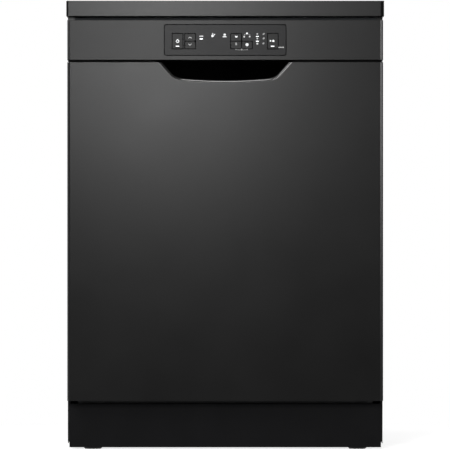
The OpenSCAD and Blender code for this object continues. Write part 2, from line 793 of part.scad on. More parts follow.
// A flat two-bladed arm on a hub: reach r, blade thickness t, its underside at z = 0
module spray_blades(r, t, root_w, tip_w) {
    tip = tip_w / 2;
    linear_extrude(t) {
        polygon([[-r + tip, -tip], [0, -root_w / 2], [r - tip, -tip],
            [r - tip, tip], [0, root_w / 2], [-r + tip, tip]]);
        for (s = [-1, 1]) translate([s * (r - tip), 0]) circle(r = tip, $fn = 48);
    }
    for (s = [-1, 1], d = [0.35, 0.6, 0.85]) rod_z(4, t - 1, t + 2, s * d * r, s * 4);
}

module lower_spray_arm() {
    color(grey_plastic) translate([0, arm_y, 0]) difference() {
        union() {
            translate([0, 0, lower_arm_z]) spray_blades(lower_arm_r, 12, 56, 34);
            translate([0, 0, lower_arm_z - 16]) cylinder(r = post_r + 10, h = 34, $fn = 48);
        }
        rod_z(post_r + shaft_fit, lower_arm_z - 17, post_top_z + 1, 0, 0);
    }
}

module upper_spray_arm() {
    color(grey_plastic) translate([0, arm_y, 0]) difference() {
        union() {
            translate([0, 0, upper_arm_z]) spray_blades(upper_arm_r, 11, 48, 30);
            translate([0, 0, upper_arm_z - 4]) cylinder(r = upper_post_r + 10, h = 21, $fn = 48);
        }
        translate([0, 0, upper_arm_z + 1]) cylinder(r = upper_post_r + shaft_fit, h = 20, $fn = 48);
    }
}

// ---- Lower rack ----

module tine_row(y, z, h) {
    n = floor((tine_x1 - tine_x0) / tine_pitch);
    for (i = [0 : n]) let (x = tine_x0 + 3 + i * tine_pitch) wire([x, y, z], [x, y, z + h]);
}

fold_z = lower_z + floor_top_z + wire_r + 1.5;
fold_clip_x = [tine_x0 - 4, tine_x1 - 4];

module lower_rack() {
    color(grey_wire) translate([0, 0, lower_z])
        wire_basket(lower_rack_hw, rack_y[0], rack_y[1], lower_rack_h);
    color(grey_wire) for (y = tine_y) {
        wire([tine_x0 - 10, y, lower_z + 2 * wire_pitch], [tine_x1 + 10, y, lower_z + 2 * wire_pitch]);
        tine_row(y, lower_z + 2 * wire_pitch, tine_h);
    }
    color(grey_plastic) difference() {
        for (x = fold_clip_x) block([x, fold_y - 7, lower_z - wire_r], [x + 8, fold_y + 7, fold_z + 6]);
        for (x = fold_clip_x) rod_x(wire_r + shaft_fit, x - 1, x + 9, fold_y, fold_z);
    }
    color(grey_plastic) both_sides() for (y = wheel_y) {
        block([lower_rack_hw + wire_r + fit, y - 14, wheel_z - 7],
            [wheel_x - wheel_w - 0.5, y + 14, carrier_top_z]);
        rod_x(axle_r - shaft_fit, wheel_x - wheel_w - 1, wheel_x + 1, y, wheel_z);
    }
}

module folding_tines() {
    color(grey_wire) {
        rod_x(wire_r, tine_x0 - 6, tine_x1 + 6, fold_y, fold_z);
        for (i = [0 : floor((tine_x1 - tine_x0 - 20) / tine_pitch)])
            let (x = tine_x0 + 16 + i * tine_pitch) wire([x, fold_y, fold_z], [x, fold_y, fold_z + tine_h]);
    }
}

// A wheel on each side, dished outside its hub
module wheel_pair(y) {
    color(grey_plastic) both_sides() difference() {
        rod_x(wheel_r, wheel_x - wheel_w, wheel_x, y, wheel_z);
        difference() {
            rod_x(wheel_r - 4, wheel_x - 3, wheel_x + 1, y, wheel_z);
            rod_x(axle_r + 3, wheel_x - 4, wheel_x, y, wheel_z);
        }
        rod_x(axle_r, wheel_x - wheel_w - 1, wheel_x + 1, y, wheel_z);
    }
}

module cutlery_basket() {
    t = 2;
    y1 = basket_y0 + basket_len;
    z1 = basket_z + basket_h;
    cell = (basket_len - 4 * t) / 3;
    mid = (basket_x0 + basket_x1) / 2;
    mid_y = (basket_y0 + y1) / 2;
    slot_w = 9;
    slot_z = basket_z + 14;
    slot_top_z = z1 - 20;
    color(grey_plastic) difference() {
        block([basket_x0, basket_y0, basket_z], [basket_x1, y1, z1]);
        for (i = [0 : 2]) block([basket_x0 + t, basket_y0 + t + i * (cell + t), basket_z + t],
            [basket_x1 - t, basket_y0 + t + i * (cell + t) + cell, z1 + 1]);
        for (i = [0 : 2], j = [0.5 : 4.5]) let (y = basket_y0 + t + i * (cell + t) + j * cell / 5)
            block([basket_x0 - 1, y - slot_w / 2, slot_z], [basket_x1 + 1, y + slot_w / 2, slot_top_z]);
        for (j = [0.5 : 4.5]) let (x = basket_x0 + t + j * (basket_w - 2 * t) / 5)
            block([x - slot_w / 2, basket_y0 - 1, slot_z], [x + slot_w / 2, y1 + 1, slot_top_z]);
    }
    color(grey_plastic) {
        for (y = [mid_y - (cell + t) / 2, mid_y + (cell + t) / 2])
            block([mid - 3, y - 3, z1 - 12], [mid + 3, y + 3, z1 + 34]);
        block([mid - 5, mid_y - cell / 2 - 6, z1 + 30], [mid + 5, mid_y + cell / 2 + 6, z1 + 36]);
    }
}

// ---- Upper rack ----

module upper_rails() {
    y0 = body_front_y + 10;
    y1 = rack_rear_y + 12;
    z0 = rail_z - rail_h / 2;
    color(steel) both_sides() {
        block([rail_web - rail_t / 2, y0, z0], [rail_web + rail_t / 2, y1, z0 + rail_h]);
        for (z = [z0, z0 + rail_h - rail_t]) block([rail_in, y0, z], [rail_out, y1, z + rail_t]);
    }
}

module upper_rack() {
    color(grey_wire) translate([0, 0, upper_z])
        wire_basket(upper_rack_hw, rack_y[0], rack_y[1], upper_rack_h);
    color(grey_wire) for (x = [-2 * rack_pitch_x, 2 * rack_pitch_x], i = [0 : 7])
        let (y = rack_front_y + 70 + i * rack_pitch_y)
            wire([x, y, upper_z + wire_pitch], [x, y, upper_z + cup_tine_h]);
    color(grey_plastic) difference() {
        for (y = shelf_clip_y) {
            block([-upper_rack_hw - wire_pitch, y, shelf_z - 6], [shelf_x + 5, y + 8, shelf_z + 5]);
            block([-upper_rack_hw - wire_pitch, y, shelf_z],
                [-upper_rack_hw + 2, y + 8, upper_z + upper_rack_h - wire_r]);
        }
        for (y = shelf_clip_y) rod_y(wire_r + shaft_fit, y - 1, y + 9, shelf_x, shelf_z);
    }
}

shelf_clip_y = [rack_front_y + 60, rack_rear_y - 130];

module cup_shelf() {
    y0 = shelf_clip_y[0] - 6;
    y1 = shelf_clip_y[1] + 14;
    shelf_pitch = 30;
    n = floor((y1 - y0 - 40) / shelf_pitch);
    edge_x = shelf_x + shelf_w - 4;
    edge_z = shelf_z + wire_pitch;
    color(grey_wire) {
        rod_y(wire_r, y0, y1, shelf_x, shelf_z);
        for (i = [0 : n]) let (y = y0 + 24 + i * shelf_pitch)
            wire([shelf_x, y, shelf_z], [shelf_x + shelf_w, y, shelf_z]);
        wire([edge_x, y0 + 18, edge_z], [edge_x, y0 + 30 + n * shelf_pitch, edge_z]);
    }
}

module rack_rollers() {
    plate_in = upper_rack_hw + wire_pitch + wire_r + fit;
    color(grey_plastic) both_sides() for (y = [arm_y - 8, rack_rear_y - 48]) {
        block([plate_in, y - 14, rail_z - 14], [rail_in - 2, y + 14, upper_z + upper_rack_h]);
        rod_x(4, rail_in - 3, rail_in + 2, y, rail_z);
        rod_x(roller_r, rail_in + 0.5, rail_web - 1.2, y, rail_z);
    }
}

module upper_feed_tube() {
    color(grey_plastic) difference() {
        union() {
            rod_y(feed_tube_r, arm_y - feed_tube_r, rack_rear_y - 4, 0, upper_feed_z);
            rod_y(feed_tube_r, rack_rear_y - 5, rack_rear_y + 5.5, 0, upper_feed_z);
            rod_z(upper_post_r, upper_arm_z + 2, upper_feed_z, 0, arm_y);
        }
        rod_y(5.5, arm_y, rack_rear_y + 6, 0, upper_feed_z);
        rod_z(5, upper_arm_z + 1, upper_feed_z, 0, arm_y);
    }
}

// ---- Door ----

// Outline of the hand recess in the door panel's top edge, in X and Z, closed above the edge
function bezier(a, b, c, t) = (1 - t) * (1 - t) * a + 2 * t * (1 - t) * b + t * t * c;
recess_steps = 8;
recess_low_z = door_top_z - recess_h;
recess_slope = (recess_top_w - recess_low_w) / recess_h;
recess_corner = [recess_low_w, recess_low_z + recess_sag];
recess_from = recess_corner + recess_round * 0.45 * [recess_slope, 1];
recess_to = recess_corner - [recess_round, 0];
recess_curve = [for (i = [0 : recess_steps]) bezier(recess_from, recess_corner, recess_to, i / recess_steps)];
recess_floor = [for (i = [1 : recess_steps - 1]) let (x = recess_to.x * (1 - 2 * i / recess_steps))
    [x, recess_to.y - recess_sag * (1 - pow(x / recess_to.x, 2))]];
recess_half = concat([[recess_top_w, door_top_z]], recess_curve);

// The outline moved outwards by a distance, and carried up to height top
function recess_outline(out, top) = concat(
    [[recess_top_w + out, top], [-recess_top_w - out, top]],
    [for (p = recess_half) [-p.x - out, p.y - out]],
    [for (i = [recess_steps - 1 : -1 : 1]) recess_floor[i - 1] - [0, out]],
    [for (i = [recess_steps + 1 : -1 : 0]) recess_half[i] + [out, -out]]);

// The recess's outline drawn in the XZ plane and extruded back from the door face
module recess_plate(out, top, y0, y1) {
    translate([0, y1, 0]) rotate([90, 0, 0]) linear_extrude(y1 - y0) polygon(recess_outline(out, top));
}

module door_outer_panel() {
    cut_y = hinge_y + 5;
    inner_x = bx - door_edge_r;
    color(satin_black) {
        difference() {
            translate([0, 0, door_foot_z]) linear_extrude(door_top_z - door_foot_z) difference() {
                rounded_front(bx, front_y, door_back_y, door_edge_r);
                rounded_front(side_inner, front_y + sheet, door_back_y + 1, door_edge_r - sheet);
            }
            recess_plate(sheet / 2, door_top_z + 1, front_y - 1, front_y + 2 * sheet);
            translate([-bx - 1, 0, 0]) rotate([90, 0, 90]) linear_extrude(2 * bx + 2)
                polygon([[cut_y, door_foot_z - 1], [door_back_y + 1, door_foot_z - 1],
                    [door_back_y + 1, hinge_z + 5], [door_back_y, hinge_z + 5]]);
        }
        difference() {
            recess_plate(sheet, door_top_z, front_y, front_y + recess_lip);
            recess_plate(0, door_top_z + 1, front_y - 1, front_y + recess_lip + 1);
        }
        block([-inner_x, front_y + sheet / 2, door_foot_z], [inner_x, hinge_y - 5, door_foot_z + sheet]);
        both_sides()
            block([pocket_x, front_y + sheet / 2, door_top_z - sheet], [inner_x, hinge_y - 5, door_top_z]);
    }
}

module door_inner_liner() {
    y0 = door_back_y - sheet;
    low_z = hinge_z + 3;
    notch_z = flange_foot_z;
    color(steel) difference() {
        union() {
            block([-side_inner, y0, notch_z], [side_inner, door_back_y, console_top_z - 3]);
            block([-hinge_notch_x, y0, low_z], [hinge_notch_x, door_back_y, notch_z + 1]);
            block([-hinge_notch_x, hinge_y + 2, low_z], [hinge_notch_x, door_back_y, low_z + sheet]);
            both_sides() block([wheel_x - wheel_w - 1, y0, track_z],
                [frame_in - 1, door_back_y + track_step - fit, disp_z0]);
        }
        block([-disp_x - fit, y0 - 1, disp_z0 - fit], [disp_x + fit, door_back_y + 1, disp_z1 + fit]);
        block([-16, y0 - 1, tub_roof_z - 2], [16, door_back_y + 1, console_top_z]);
    }
}

pocket_x = recess_top_w + 4;

module handle_pocket() {
    t = 2;
    y0 = front_y + sheet;
    y1 = front_y + 38;
    z0 = recess_low_z - 6;
    z1 = console_z - 0.6;
    r = 14;
    scoop = [for (a = [0 : 15 : 90]) [y1 - t - r + r * sin(a), z0 + t + r - r * cos(a)]];
    color(deep_black) difference() {
        block([-pocket_x, y0, z0], [pocket_x, y1, z1]);
        translate([-pocket_x + t, 0, 0]) rotate([90, 0, 90]) linear_extrude(2 * pocket_x - 2 * t)
            polygon(concat([[y0 - 1, z0 + t]], scoop, [[y1 - t, z1 + 1], [y0 - 1, z1 + 1]]));
    }
}

module key_openings(y0, y1) {
    for (k = KEYS) block([k[0] - key_w / 2 - key_gap, y0, k[1] - k[2] / 2 - key_gap],
        [k[0] + key_w / 2 + key_gap, y1, k[1] + k[2] / 2 + key_gap]);
}

module control_console() {
    t = 2.5;
    back = door_back_y - sheet;
    pocket_y = insert_y + insert_t;
    color(satin_black) difference() {
        union() {
            difference() {
                translate([0, 0, console_z]) linear_extrude(console_h)
                    rounded_front(bx, front_y, back, door_edge_r);
                block([-bx + t, front_y + fascia_t, console_z + t], [bx - t, back + 1, console_top_z - t]);
            }
            both_sides() for (z = [insert_z - 22, insert_z + 19])
                rod_y(3, front_y + fascia_t - 0.5, pcb_y, insert_w / 2 - 14, z);
        }
        block([-insert_w / 2 - fit, front_y - 1, insert_z - insert_h / 2 - fit],
            [insert_w / 2 + fit, pocket_y, insert_z + insert_h / 2 + fit]);
        key_openings(front_y - 1, front_y + fascia_t + 0.2);
    }
}

module control_insert() {
    color(deep_black) difference() {
        block([-insert_w / 2, insert_y, insert_z - insert_h / 2],
            [insert_w / 2, insert_y + insert_t, insert_z + insert_h / 2]);
        key_openings(insert_y - 1, insert_y + insert_t + 1);
    }
}

// One key: its cap, a rim that keeps it behind the fascia, and its stem
module key(k) {
    rim_y = front_y + fascia_t + fit;
    rim = 0.5;
    color(satin_black) {
        block([k[0] - key_w / 2, key_front_y, k[1] - k[2] / 2],
            [k[0] + key_w / 2, rim_y + 0.5, k[1] + k[2] / 2]);
        block([k[0] - key_w / 2 - rim, rim_y, k[1] - k[2] / 2 - rim],
            [k[0] + key_w / 2 + rim, rim_y + 1, k[1] + k[2] / 2 + rim]);
        rod_y(2.2, rim_y, pcb_y - 4.4 - key_travel - 0.2, k[0], k[1]);
    }
}

module control_board() {
    color("#2f5b3c") difference() {
        block([-insert_w / 2 + 8, pcb_y, insert_z - 27], [insert_w / 2 - 8, pcb_y + pcb_t, insert_z + 25]);
    }
    color(deep_black) for (k = KEYS) {
        block([k[0] - 3, pcb_y - 3.5, k[1] - 3], [k[0] + 3, pcb_y + 0.5, k[1] + 3]);
        rod_y(1.5, pcb_y - 4.4, pcb_y - 3, k[0], k[1]);
    }
    color(deep_black) block([-28, pcb_y + pcb_t - 0.5, insert_z - 20], [28, pcb_y + pcb_t + 3, insert_z - 2]);
}

module door_lock() {
    y1 = door_back_y - sheet - fit;
    mouth_z = tub_roof_z + 5;
    color(deep_black) difference() {
        block([-30, pcb_y + 8, console_top_z - 30], [30, y1, console_top_z - 2.5]);
        block([-14, door_back_y - 18, mouth_z - 5], [14, y1 + 1, mouth_z + 5]);
    }
}

// ---- Detergent dispenser ----

module detergent_dispenser() {
    rail = 3;
    color(white_plastic) difference() {
        union() {
            block([-disp_x, disp_face_y - disp_depth, disp_z0], [disp_x, disp_face_y, disp_z1]);
            block([-disp_x - 7, door_back_y, disp_z0 - 7], [disp_x + 7, disp_face_y - 2, disp_z1 + 7]);
            for (x = [cup[0] - 4 - fit - rail, cup[1] + 4 + fit])
                block([x, disp_face_y - 1, cup[2] - 8 - lid_travel], [x + rail, disp_face_y + 4, cup[3] + 9]);
        }
        block([cup[0], disp_face_y - disp_depth + 3, cup[2]], [cup[1], disp_face_y + 1, cup[3]]);
        rod_y(rinse_r, disp_face_y - 12, disp_face_y + 1, rinse_x, rinse_z);
    }
}

module dispenser_lid() {
    y = disp_face_y + fit;
    color(white_plastic) {
        block([cup[0] - 4, y, cup[2] - 4], [cup[1] + 4, y + 3, cup[3] + 4]);
        block([cup[0] + 16, y + 2, cup[3] - 14], [cup[1] - 16, y + 8, cup[3] - 9]);
    }
}

module rinse_aid_cap() {
    y = disp_face_y + fit;
    color("#3a6ea8") {
        rod_y(rinse_r + 4, y, y + 4, rinse_x, rinse_z);
        rod_y(rinse_r - shaft_fit, y - 10, y + 1, rinse_x, rinse_z);
        block([rinse_x - 14, y + 3, rinse_z - 2.5], [rinse_x + 14, y + 9, rinse_z + 2.5]);
    }
}

worktop();
mirror([1, 0, 0]) side_panel();  // side_panel_left
side_panel();  // side_panel_right
rear_panel();
rear_screws();
front_crossbar();
base_tray();
plinth();
tub_wrapper();
tub_back();
tub_floor();
door_gasket();
hinge_brackets();
door_springs();
wall_rollers();
sump_housing();
circulation_pump();
drain_pump();
drain_hose();
water_softener();
inlet_valve();
inlet_chamber();
spray_feed_pipe();
filter_plate();
coarse_filter();
salt_cap();
lower_spray_arm();
upper_spray_arm();
foot(-foot_x, foot_front_y);  // foot_front_left
foot(foot_x, foot_front_y);  // foot_front_right
foot(-foot_x, foot_rear_y);  // foot_rear_left
foot(foot_x, foot_rear_y);  // foot_rear_right
lower_rack();
folding_tines();
cutlery_basket();
wheel_pair(wheel_y[0]);  // lower_wheels_front
wheel_pair(wheel_y[1]);  // lower_wheels_rear
upper_rails();
upper_rack();
rack_rollers();
upper_feed_tube();
cup_shelf();
door_outer_panel();
door_inner_liner();
hinge_arms();
handle_pocket();
control_console();
control_insert();
control_board();
door_lock();
key(KEYS[0]);  // power_key
key(KEYS[1]);  // program_up_key
key(KEYS[2]);  // program_down_key
key(KEYS[3]);  // half_load_key
key(KEYS[4]);  // extra_dry_key
key(KEYS[5]);  // delay_key
key(KEYS[6]);  // start_key
detergent_dispenser();
dispenser_lid();
rinse_aid_cap();
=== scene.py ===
import bpy
import bmesh
import math
from mathutils import Matrix, Vector


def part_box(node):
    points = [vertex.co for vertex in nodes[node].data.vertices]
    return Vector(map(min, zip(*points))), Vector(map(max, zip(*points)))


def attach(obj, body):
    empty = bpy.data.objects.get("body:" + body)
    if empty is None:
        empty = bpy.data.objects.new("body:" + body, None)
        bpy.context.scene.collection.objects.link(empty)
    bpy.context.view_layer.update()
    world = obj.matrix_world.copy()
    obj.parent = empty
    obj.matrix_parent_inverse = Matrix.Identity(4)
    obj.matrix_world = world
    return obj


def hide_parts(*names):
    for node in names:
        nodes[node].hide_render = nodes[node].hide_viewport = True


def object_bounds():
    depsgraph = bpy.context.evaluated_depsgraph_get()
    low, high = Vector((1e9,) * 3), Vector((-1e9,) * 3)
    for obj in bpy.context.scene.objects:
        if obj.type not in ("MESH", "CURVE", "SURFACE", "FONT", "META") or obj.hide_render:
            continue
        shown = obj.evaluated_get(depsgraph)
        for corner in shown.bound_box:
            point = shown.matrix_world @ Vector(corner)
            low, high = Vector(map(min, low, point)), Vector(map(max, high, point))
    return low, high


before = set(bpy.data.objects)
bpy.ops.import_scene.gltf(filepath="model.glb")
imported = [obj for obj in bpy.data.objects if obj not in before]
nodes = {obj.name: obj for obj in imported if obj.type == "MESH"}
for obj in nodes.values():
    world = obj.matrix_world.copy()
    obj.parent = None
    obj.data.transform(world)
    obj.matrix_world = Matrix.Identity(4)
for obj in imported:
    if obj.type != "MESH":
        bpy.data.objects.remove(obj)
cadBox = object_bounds()
mm = 0.001
tiny = mm / 20    # places this near each other count as one
print("frame loaded:", len(nodes), "nodes")

shadeSpan = (0.3, 0.7)    # the stretch of a pattern's value over which a colour goes from dark to light


def hexColour(code):
    # sRGB hex to the linear colour that a shader socket wants
    parts = [int(code[i:i + 2], 16) / 255 for i in (1, 3, 5)]
    return [c / 12.92 if c < 0.04045 else ((c + 0.055) / 1.055) ** 2.4 for c in parts] + [1.0]


def addNode(tree, kind, settings=None, links=None):
    # settings name either an input socket or a property of the node
    node = tree.nodes.new(kind)
    for key, value in (settings or {}).items():
        if isinstance(key, str) and hasattr(node, key):
            setattr(node, key, value)
        else:
            node.inputs[key].default_value = value
    for key, output in (links or {}).items():
        tree.links.new(output, node.inputs[key])
    return node


def newMaterial(name, values=None):
    material = bpy.data.materials.new(name)
    material.use_nodes = True
    tree = material.node_tree
    tree.nodes.clear()
    shader = addNode(tree, "ShaderNodeBsdfPrincipled", values)
    addNode(tree, "ShaderNodeOutputMaterial", links={"Surface": shader.outputs["BSDF"]})
    place = addNode(tree, "ShaderNodeTexCoord").outputs["Object"]
    return material, tree, shader, place


def layFinish(tree, shader, look, shade, rough=None, height=None, socket="Base Color"):
    # spreads a look over the surface: its two hex shades along the pattern given as shade, its lowest and
    # highest roughness along the second, and its relief, a strength and a depth, along the third
    ramp = addNode(tree, "ShaderNodeValToRGB", links={"Fac": shade})
    for element, position, code in zip(ramp.color_ramp.elements, shadeSpan, look["shades"]):
        element.position = position
        element.color = hexColour(code)
    tree.links.new(ramp.outputs["Color"], shader.inputs[socket])
    if rough is not None:
        low, high = look["rough"]
        spread = addNode(tree, "ShaderNodeMapRange", {"To Min": low, "To Max": high}, {"Value": rough})
        tree.links.new(spread.outputs["Result"], shader.inputs["Roughness"])
    if height is not None:
        strength, depth = look["relief"]
        bump = addNode(tree, "ShaderNodeBump", {"Strength": strength, "Distance": depth}, {"Height": height})
        tree.links.new(bump.outputs["Normal"], shader.inputs["Normal"])


# the black finishes take a lower IOR than real lacquer or plastic, so that the white all round the machine
# doesn't grey them; copies with a higher IOR paint highlights on turned edges, and a lower one paints shade
powderCoat = {"shades": ("#070707", "#0a0a0a"), "rough": (0.205, 0.245), "relief": (0.1, 0.06 * mm),
              "clouds": 90 * mm, "peel": 1.6 * mm}


def powderCoatedSteel(name, ior):
    # satin black paint baked on steel: even, with a faint orange peel in the highlight
    material, tree, shader, place = newMaterial(name, {"IOR": ior})
    clouds = addNode(tree, "ShaderNodeTexNoise", {"Scale": 1 / powderCoat["clouds"], "Detail": 3.0},
                     {"Vector": place}).outputs["Fac"]
    peel = addNode(tree, "ShaderNodeTexNoise", {"Scale": 1 / powderCoat["peel"], "Detail": 2.0},
                   {"Vector": place}).outputs["Fac"]
    layFinish(tree, shader, powderCoat, clouds, clouds, peel)
    return material


laminate = {"shades": ("#080808", "#0b0b0b"), "frontRough": (0.19, 0.29), "topRough": (0.55, 0.65),
            "relief": (0.1, 0.06 * mm), "clouds": 120 * mm, "grain": 1.1 * mm, "ior": 1.15}


def melamineLaminate(name, rough):
    # pressed laminate: a pebble grain that breaks the light more than paint does, drawn coarser than the
    # real one so that it shows
    material, tree, shader, place = newMaterial(name, {"IOR": laminate["ior"]})
    pebbles = addNode(tree, "ShaderNodeTexVoronoi", {"Scale": 1 / laminate["grain"]},
                      {"Vector": place}).outputs["Distance"]
    clouds = addNode(tree, "ShaderNodeTexNoise", {"Scale": 1 / laminate["clouds"], "Detail": 2.0},
                     {"Vector": place}).outputs["Fac"]
    layFinish(tree, shader, {**laminate, "rough": rough}, clouds, pebbles, pebbles)
    return material


fineGrain = {"size": 0.9 * mm, "clouds": 60 * mm, "roughSpread": 0.04, "strength": 0.1, "depth": 0.08 * mm}


def grainedSurface(name, dark, light, rough, size=fineGrain["size"], strength=fineGrain["strength"], ior=1.5):
    # the even grain of a spark-eroded mould, of sprayed paint and of foam: small pits, drawn coarser than
    # real ones so that they show, and a colour a shade apart from place to place
    material, tree, shader, place = newMaterial(name, {"IOR": ior})
    pits = addNode(tree, "ShaderNodeTexNoise", {"Scale": 1 / size, "Detail": 2.0},
                   {"Vector": place}).outputs["Fac"]
    clouds = addNode(tree, "ShaderNodeTexNoise", {"Scale": 1 / fineGrain["clouds"], "Detail": 2.0},
                     {"Vector": place}).outputs["Fac"]
    spread = fineGrain["roughSpread"]
    look = {"shades": (dark, light), "rough": (rough - spread, rough + spread),
            "relief": (strength, fineGrain["depth"])}
    layFinish(tree, shader, look, clouds, pits, pits)
    return material


stainless = {"shades": ("#8e9195", "#a9acb0"), "rough": (0.26, 0.4), "relief": (0.08, 0.05 * mm),
             "line": 0.8 * mm, "lineLength": 180 * mm, "smears": 140 * mm}


def brushedStainless(name, axes):
    # rolled and brushed sheet: hairlines run along the given axes and spread the light across them, drawn
    # wider than real ones so that they show
    material, tree, shader, place = newMaterial(name, {"Metallic": 1.0})
    stretch = [1 / (stainless["lineLength"] if axis in axes else stainless["line"]) for axis in range(3)]
    stretched = addNode(tree, "ShaderNodeMapping", {"Scale": stretch}, {"Vector": place}).outputs["Vector"]
    lines = addNode(tree, "ShaderNodeTexNoise", {"Scale": 1.0, "Detail": 3.0},
                    {"Vector": stretched}).outputs["Fac"]
    smears = addNode(tree, "ShaderNodeTexNoise", {"Scale": 1 / stainless["smears"], "Detail": 3.0},
                     {"Vector": place}).outputs["Fac"]
    layFinish(tree, shader, stainless, lines, smears, lines)
    return material


galvanised = {"shades": ("#80848a", "#888c91"), "rough": (0.46, 0.54), "relief": (0.08, 0.06 * mm),
              "spangle": 7 * mm, "grain": 2 * mm, "metallic": 0.9}


def galvanisedSheet():
    # hot-dip zinc: dull grey, with the small crystals of the coating a shade apart
    material, tree, shader, place = newMaterial("galvanisedSheet", {"Metallic": galvanised["metallic"]})
    crystals = addNode(tree, "ShaderNodeTexVoronoi", {"Scale": 1 / galvanised["spangle"]},
                       {"Vector": place}).outputs["Color"]
    grain = addNode(tree, "ShaderNodeTexNoise", {"Scale": 1 / galvanised["grain"], "Detail": 3.0},
                    {"Vector": place}).outputs["Fac"]
    layFinish(tree, shader, galvanised, crystals, crystals, grain)
    return material


zincPlating = {"shades": ("#85898e", "#a4a8ac"), "rough": (0.3, 0.45), "relief": (0.06, 0.05 * mm),
               "clouds": 7 * mm}


def zincPlatedSteel():
    # bright zinc on pressed steel: cool grey, a little cloudy
    material, tree, shader, place = newMaterial("zincPlatedSteel", {"Metallic": 1.0})
    clouds = addNode(tree, "ShaderNodeTexNoise", {"Scale": 1 / zincPlating["clouds"], "Detail": 4.0},
                     {"Vector": place}).outputs["Fac"]
    layFinish(tree, shader, zincPlating, clouds, clouds, clouds)
    return material


sealRubber = {"shades": ("#121213", "#1b1b1c"), "rough": (0.6, 0.75), "relief": (0.1, 0.1 * mm),
              "bloom": 12 * mm}


def epdmRubber():
    # extruded seal: dull black with a slight bloom
    material, tree, shader, place = newMaterial("extrudedEpdmRubber")
    bloom = addNode(tree, "ShaderNodeTexNoise", {"Scale": 1 / sealRubber["bloom"], "Detail": 4.0},
                    {"Vector": place}).outputs["Fac"]
    layFinish(tree, shader, sealRubber, bloom, bloom, bloom)
    return material


wireSkin = {"shades": ("#767b81", "#868b91"), "rough": (0.3, 0.4), "relief": (0.15, 0.2 * mm), "runs": 9 * mm}


def nylonCoatedWire():
    # dipped wire: smooth grey skin with soft waves where the dip ran
    material, tree, shader, place = newMaterial("nylonDippedWire")
    runs = addNode(tree, "ShaderNodeTexNoise", {"Scale": 1 / wireSkin["runs"], "Detail": 2.0},
                   {"Vector": place}).outputs["Fac"]
    layFinish(tree, shader, wireSkin, runs, runs, runs)
    return material


board = {"shades": ("#173f26", "#25593a"), "relief": (0.1, 0.05 * mm), "islands": 6 * mm, "rough": 0.3}


def circuitBoard():
    # green solder mask with darker copper islands under it
    material, tree, shader, place = newMaterial("solderMaskedBoard", {"Roughness": board["rough"]})
    islands = addNode(tree, "ShaderNodeTexVoronoi", {"Scale": 1 / board["islands"]}, {"Vector": place})
    layFinish(tree, shader, board, islands.outputs["Distance"], height=islands.outputs["Distance"])
    return material


ink = {"thin": 0.7 * mm, "rough": 0.6}


def printedInk(name, dark, light):
    # screen printing: flat, a little darker where the ink is thin
    material, tree, shader, place = newMaterial(name, {"Roughness": ink["rough"]})
    thin = addNode(tree, "ShaderNodeTexNoise", {"Scale": 1 / ink["thin"], "Detail": 2.0}, {"Vector": place})
    layFinish(tree, shader, {"shades": (dark, light)}, thin.outputs["Fac"])
    return material


lightGuide = {"shades": ("#f4f6f8", "#ffffff"), "base": "#e8eaec", "strength": 0.95, "spread": 2 * mm}


def litLightGuide():
    # moulded clear plastic in front of a lit signal lamp: an even white with soft clouds
    values = {"Emission Strength": lightGuide["strength"], "Base Color": hexColour(lightGuide["base"])}
    material, tree, shader, place = newMaterial("litLightGuide", values)
    spread = addNode(tree, "ShaderNodeTexNoise", {"Scale": 1 / lightGuide["spread"]}, {"Vector": place})
    layFinish(tree, shader, lightGuide, spread.outputs["Fac"], socket="Emission Color")
    return material


# powder coat, with copies for painted highlights on turns and along the recess's rim, and for painted shade
paint = powderCoatedSteel("powderCoatedSteel", 1.14)
highlightPaint = powderCoatedSteel("powderCoatWithPaintedHighlight", 1.24)
strongHighlightPaint = powderCoatedSteel("powderCoatWithStrongPaintedHighlight", 1.45)
shadePaint = powderCoatedSteel("powderCoatWithPaintedShade", 1.05)

# the worktop: a satin front, a matt working face and a dull band that paints shade on ends and upper edge
laminateFront = melamineLaminate("pressedMelamineLaminate", laminate["frontRough"])
laminateTop = melamineLaminate("pressedMelamineLaminateTop", laminate["topRough"])
edgeBandAndPaintedShade = grainedSurface("absEdgeBandAndPaintedShade", "#060606", "#080808", 0.7, ior=1.1)

# moulded ABS: satin and a little softer than the paint on the console, nearly smooth on the window
satinAbs = grainedSurface("mouldedAbs", "#080808", "#0b0b0b", 0.255, ior=1.137)
# copies of the console's ABS with a higher and a lower IOR paint a highlight and shade on its edges
highlightAbs = grainedSurface("mouldedAbsWithPaintedHighlight", "#080808", "#0b0b0b", 0.26, ior=1.27)
shadeAbs = grainedSurface("mouldedAbsWithPaintedShade", "#080808", "#0b0b0b", 0.3, ior=1.05)
windowAbs = grainedSurface("mouldedAbsWindow", "#09090a", "#0c0c0d", 0.26, 1.4 * mm, 0.03, 1.115)
keyAbs = grainedSurface("mouldedAbsKey", "#0a0a0a", "#0d0d0d", 0.27, ior=1.12)

# sprayed steel: dull paint on the plinth, chalky primer on the crossbar
plinthPaint = grainedSurface("sprayedPaintOnPlinth", "#0a0a0b", "#0d0d0e", 0.5, 1.6 * mm, 0.06, 1.1)
primer = grainedSurface("sprayedPrimerOnSteel", "#2a2c2e", "#323436", 0.6, ior=1.2)

# dead black that hardly reflects: strips of painted shade for the door's slots, and the hand pocket's matt
# plastic, which also paints shade on the console's opening, lower edge and underside and on the keys' sides
slotShadeFoam = grainedSurface("foamWithPaintedShade", "#0e0e0e", "#141414", 0.9, ior=1.05)
pocketBlackAndPaintedShade = grainedSurface("pocketPolypropyleneAndPaintedShade", "#010101", "#020202", 0.9, strength=0.02, ior=1.02)

# moulded polypropylene: waxy, with a soft sheen
blackPlastic = grainedSurface("mouldedPolypropyleneBlack", "#0c0c0d", "#101011", 0.55, ior=1.3)
greyPlastic = grainedSurface("mouldedPolypropyleneGrey", "#5f656b", "#6a7076", 0.42)
whitePlastic = grainedSurface("mouldedPolypropyleneWhite", "#cfd0ce", "#d8d9d7", 0.4)
bluePlastic = grainedSurface("mouldedPolypropyleneBlue", "#2b5c96", "#3569a4", 0.38)

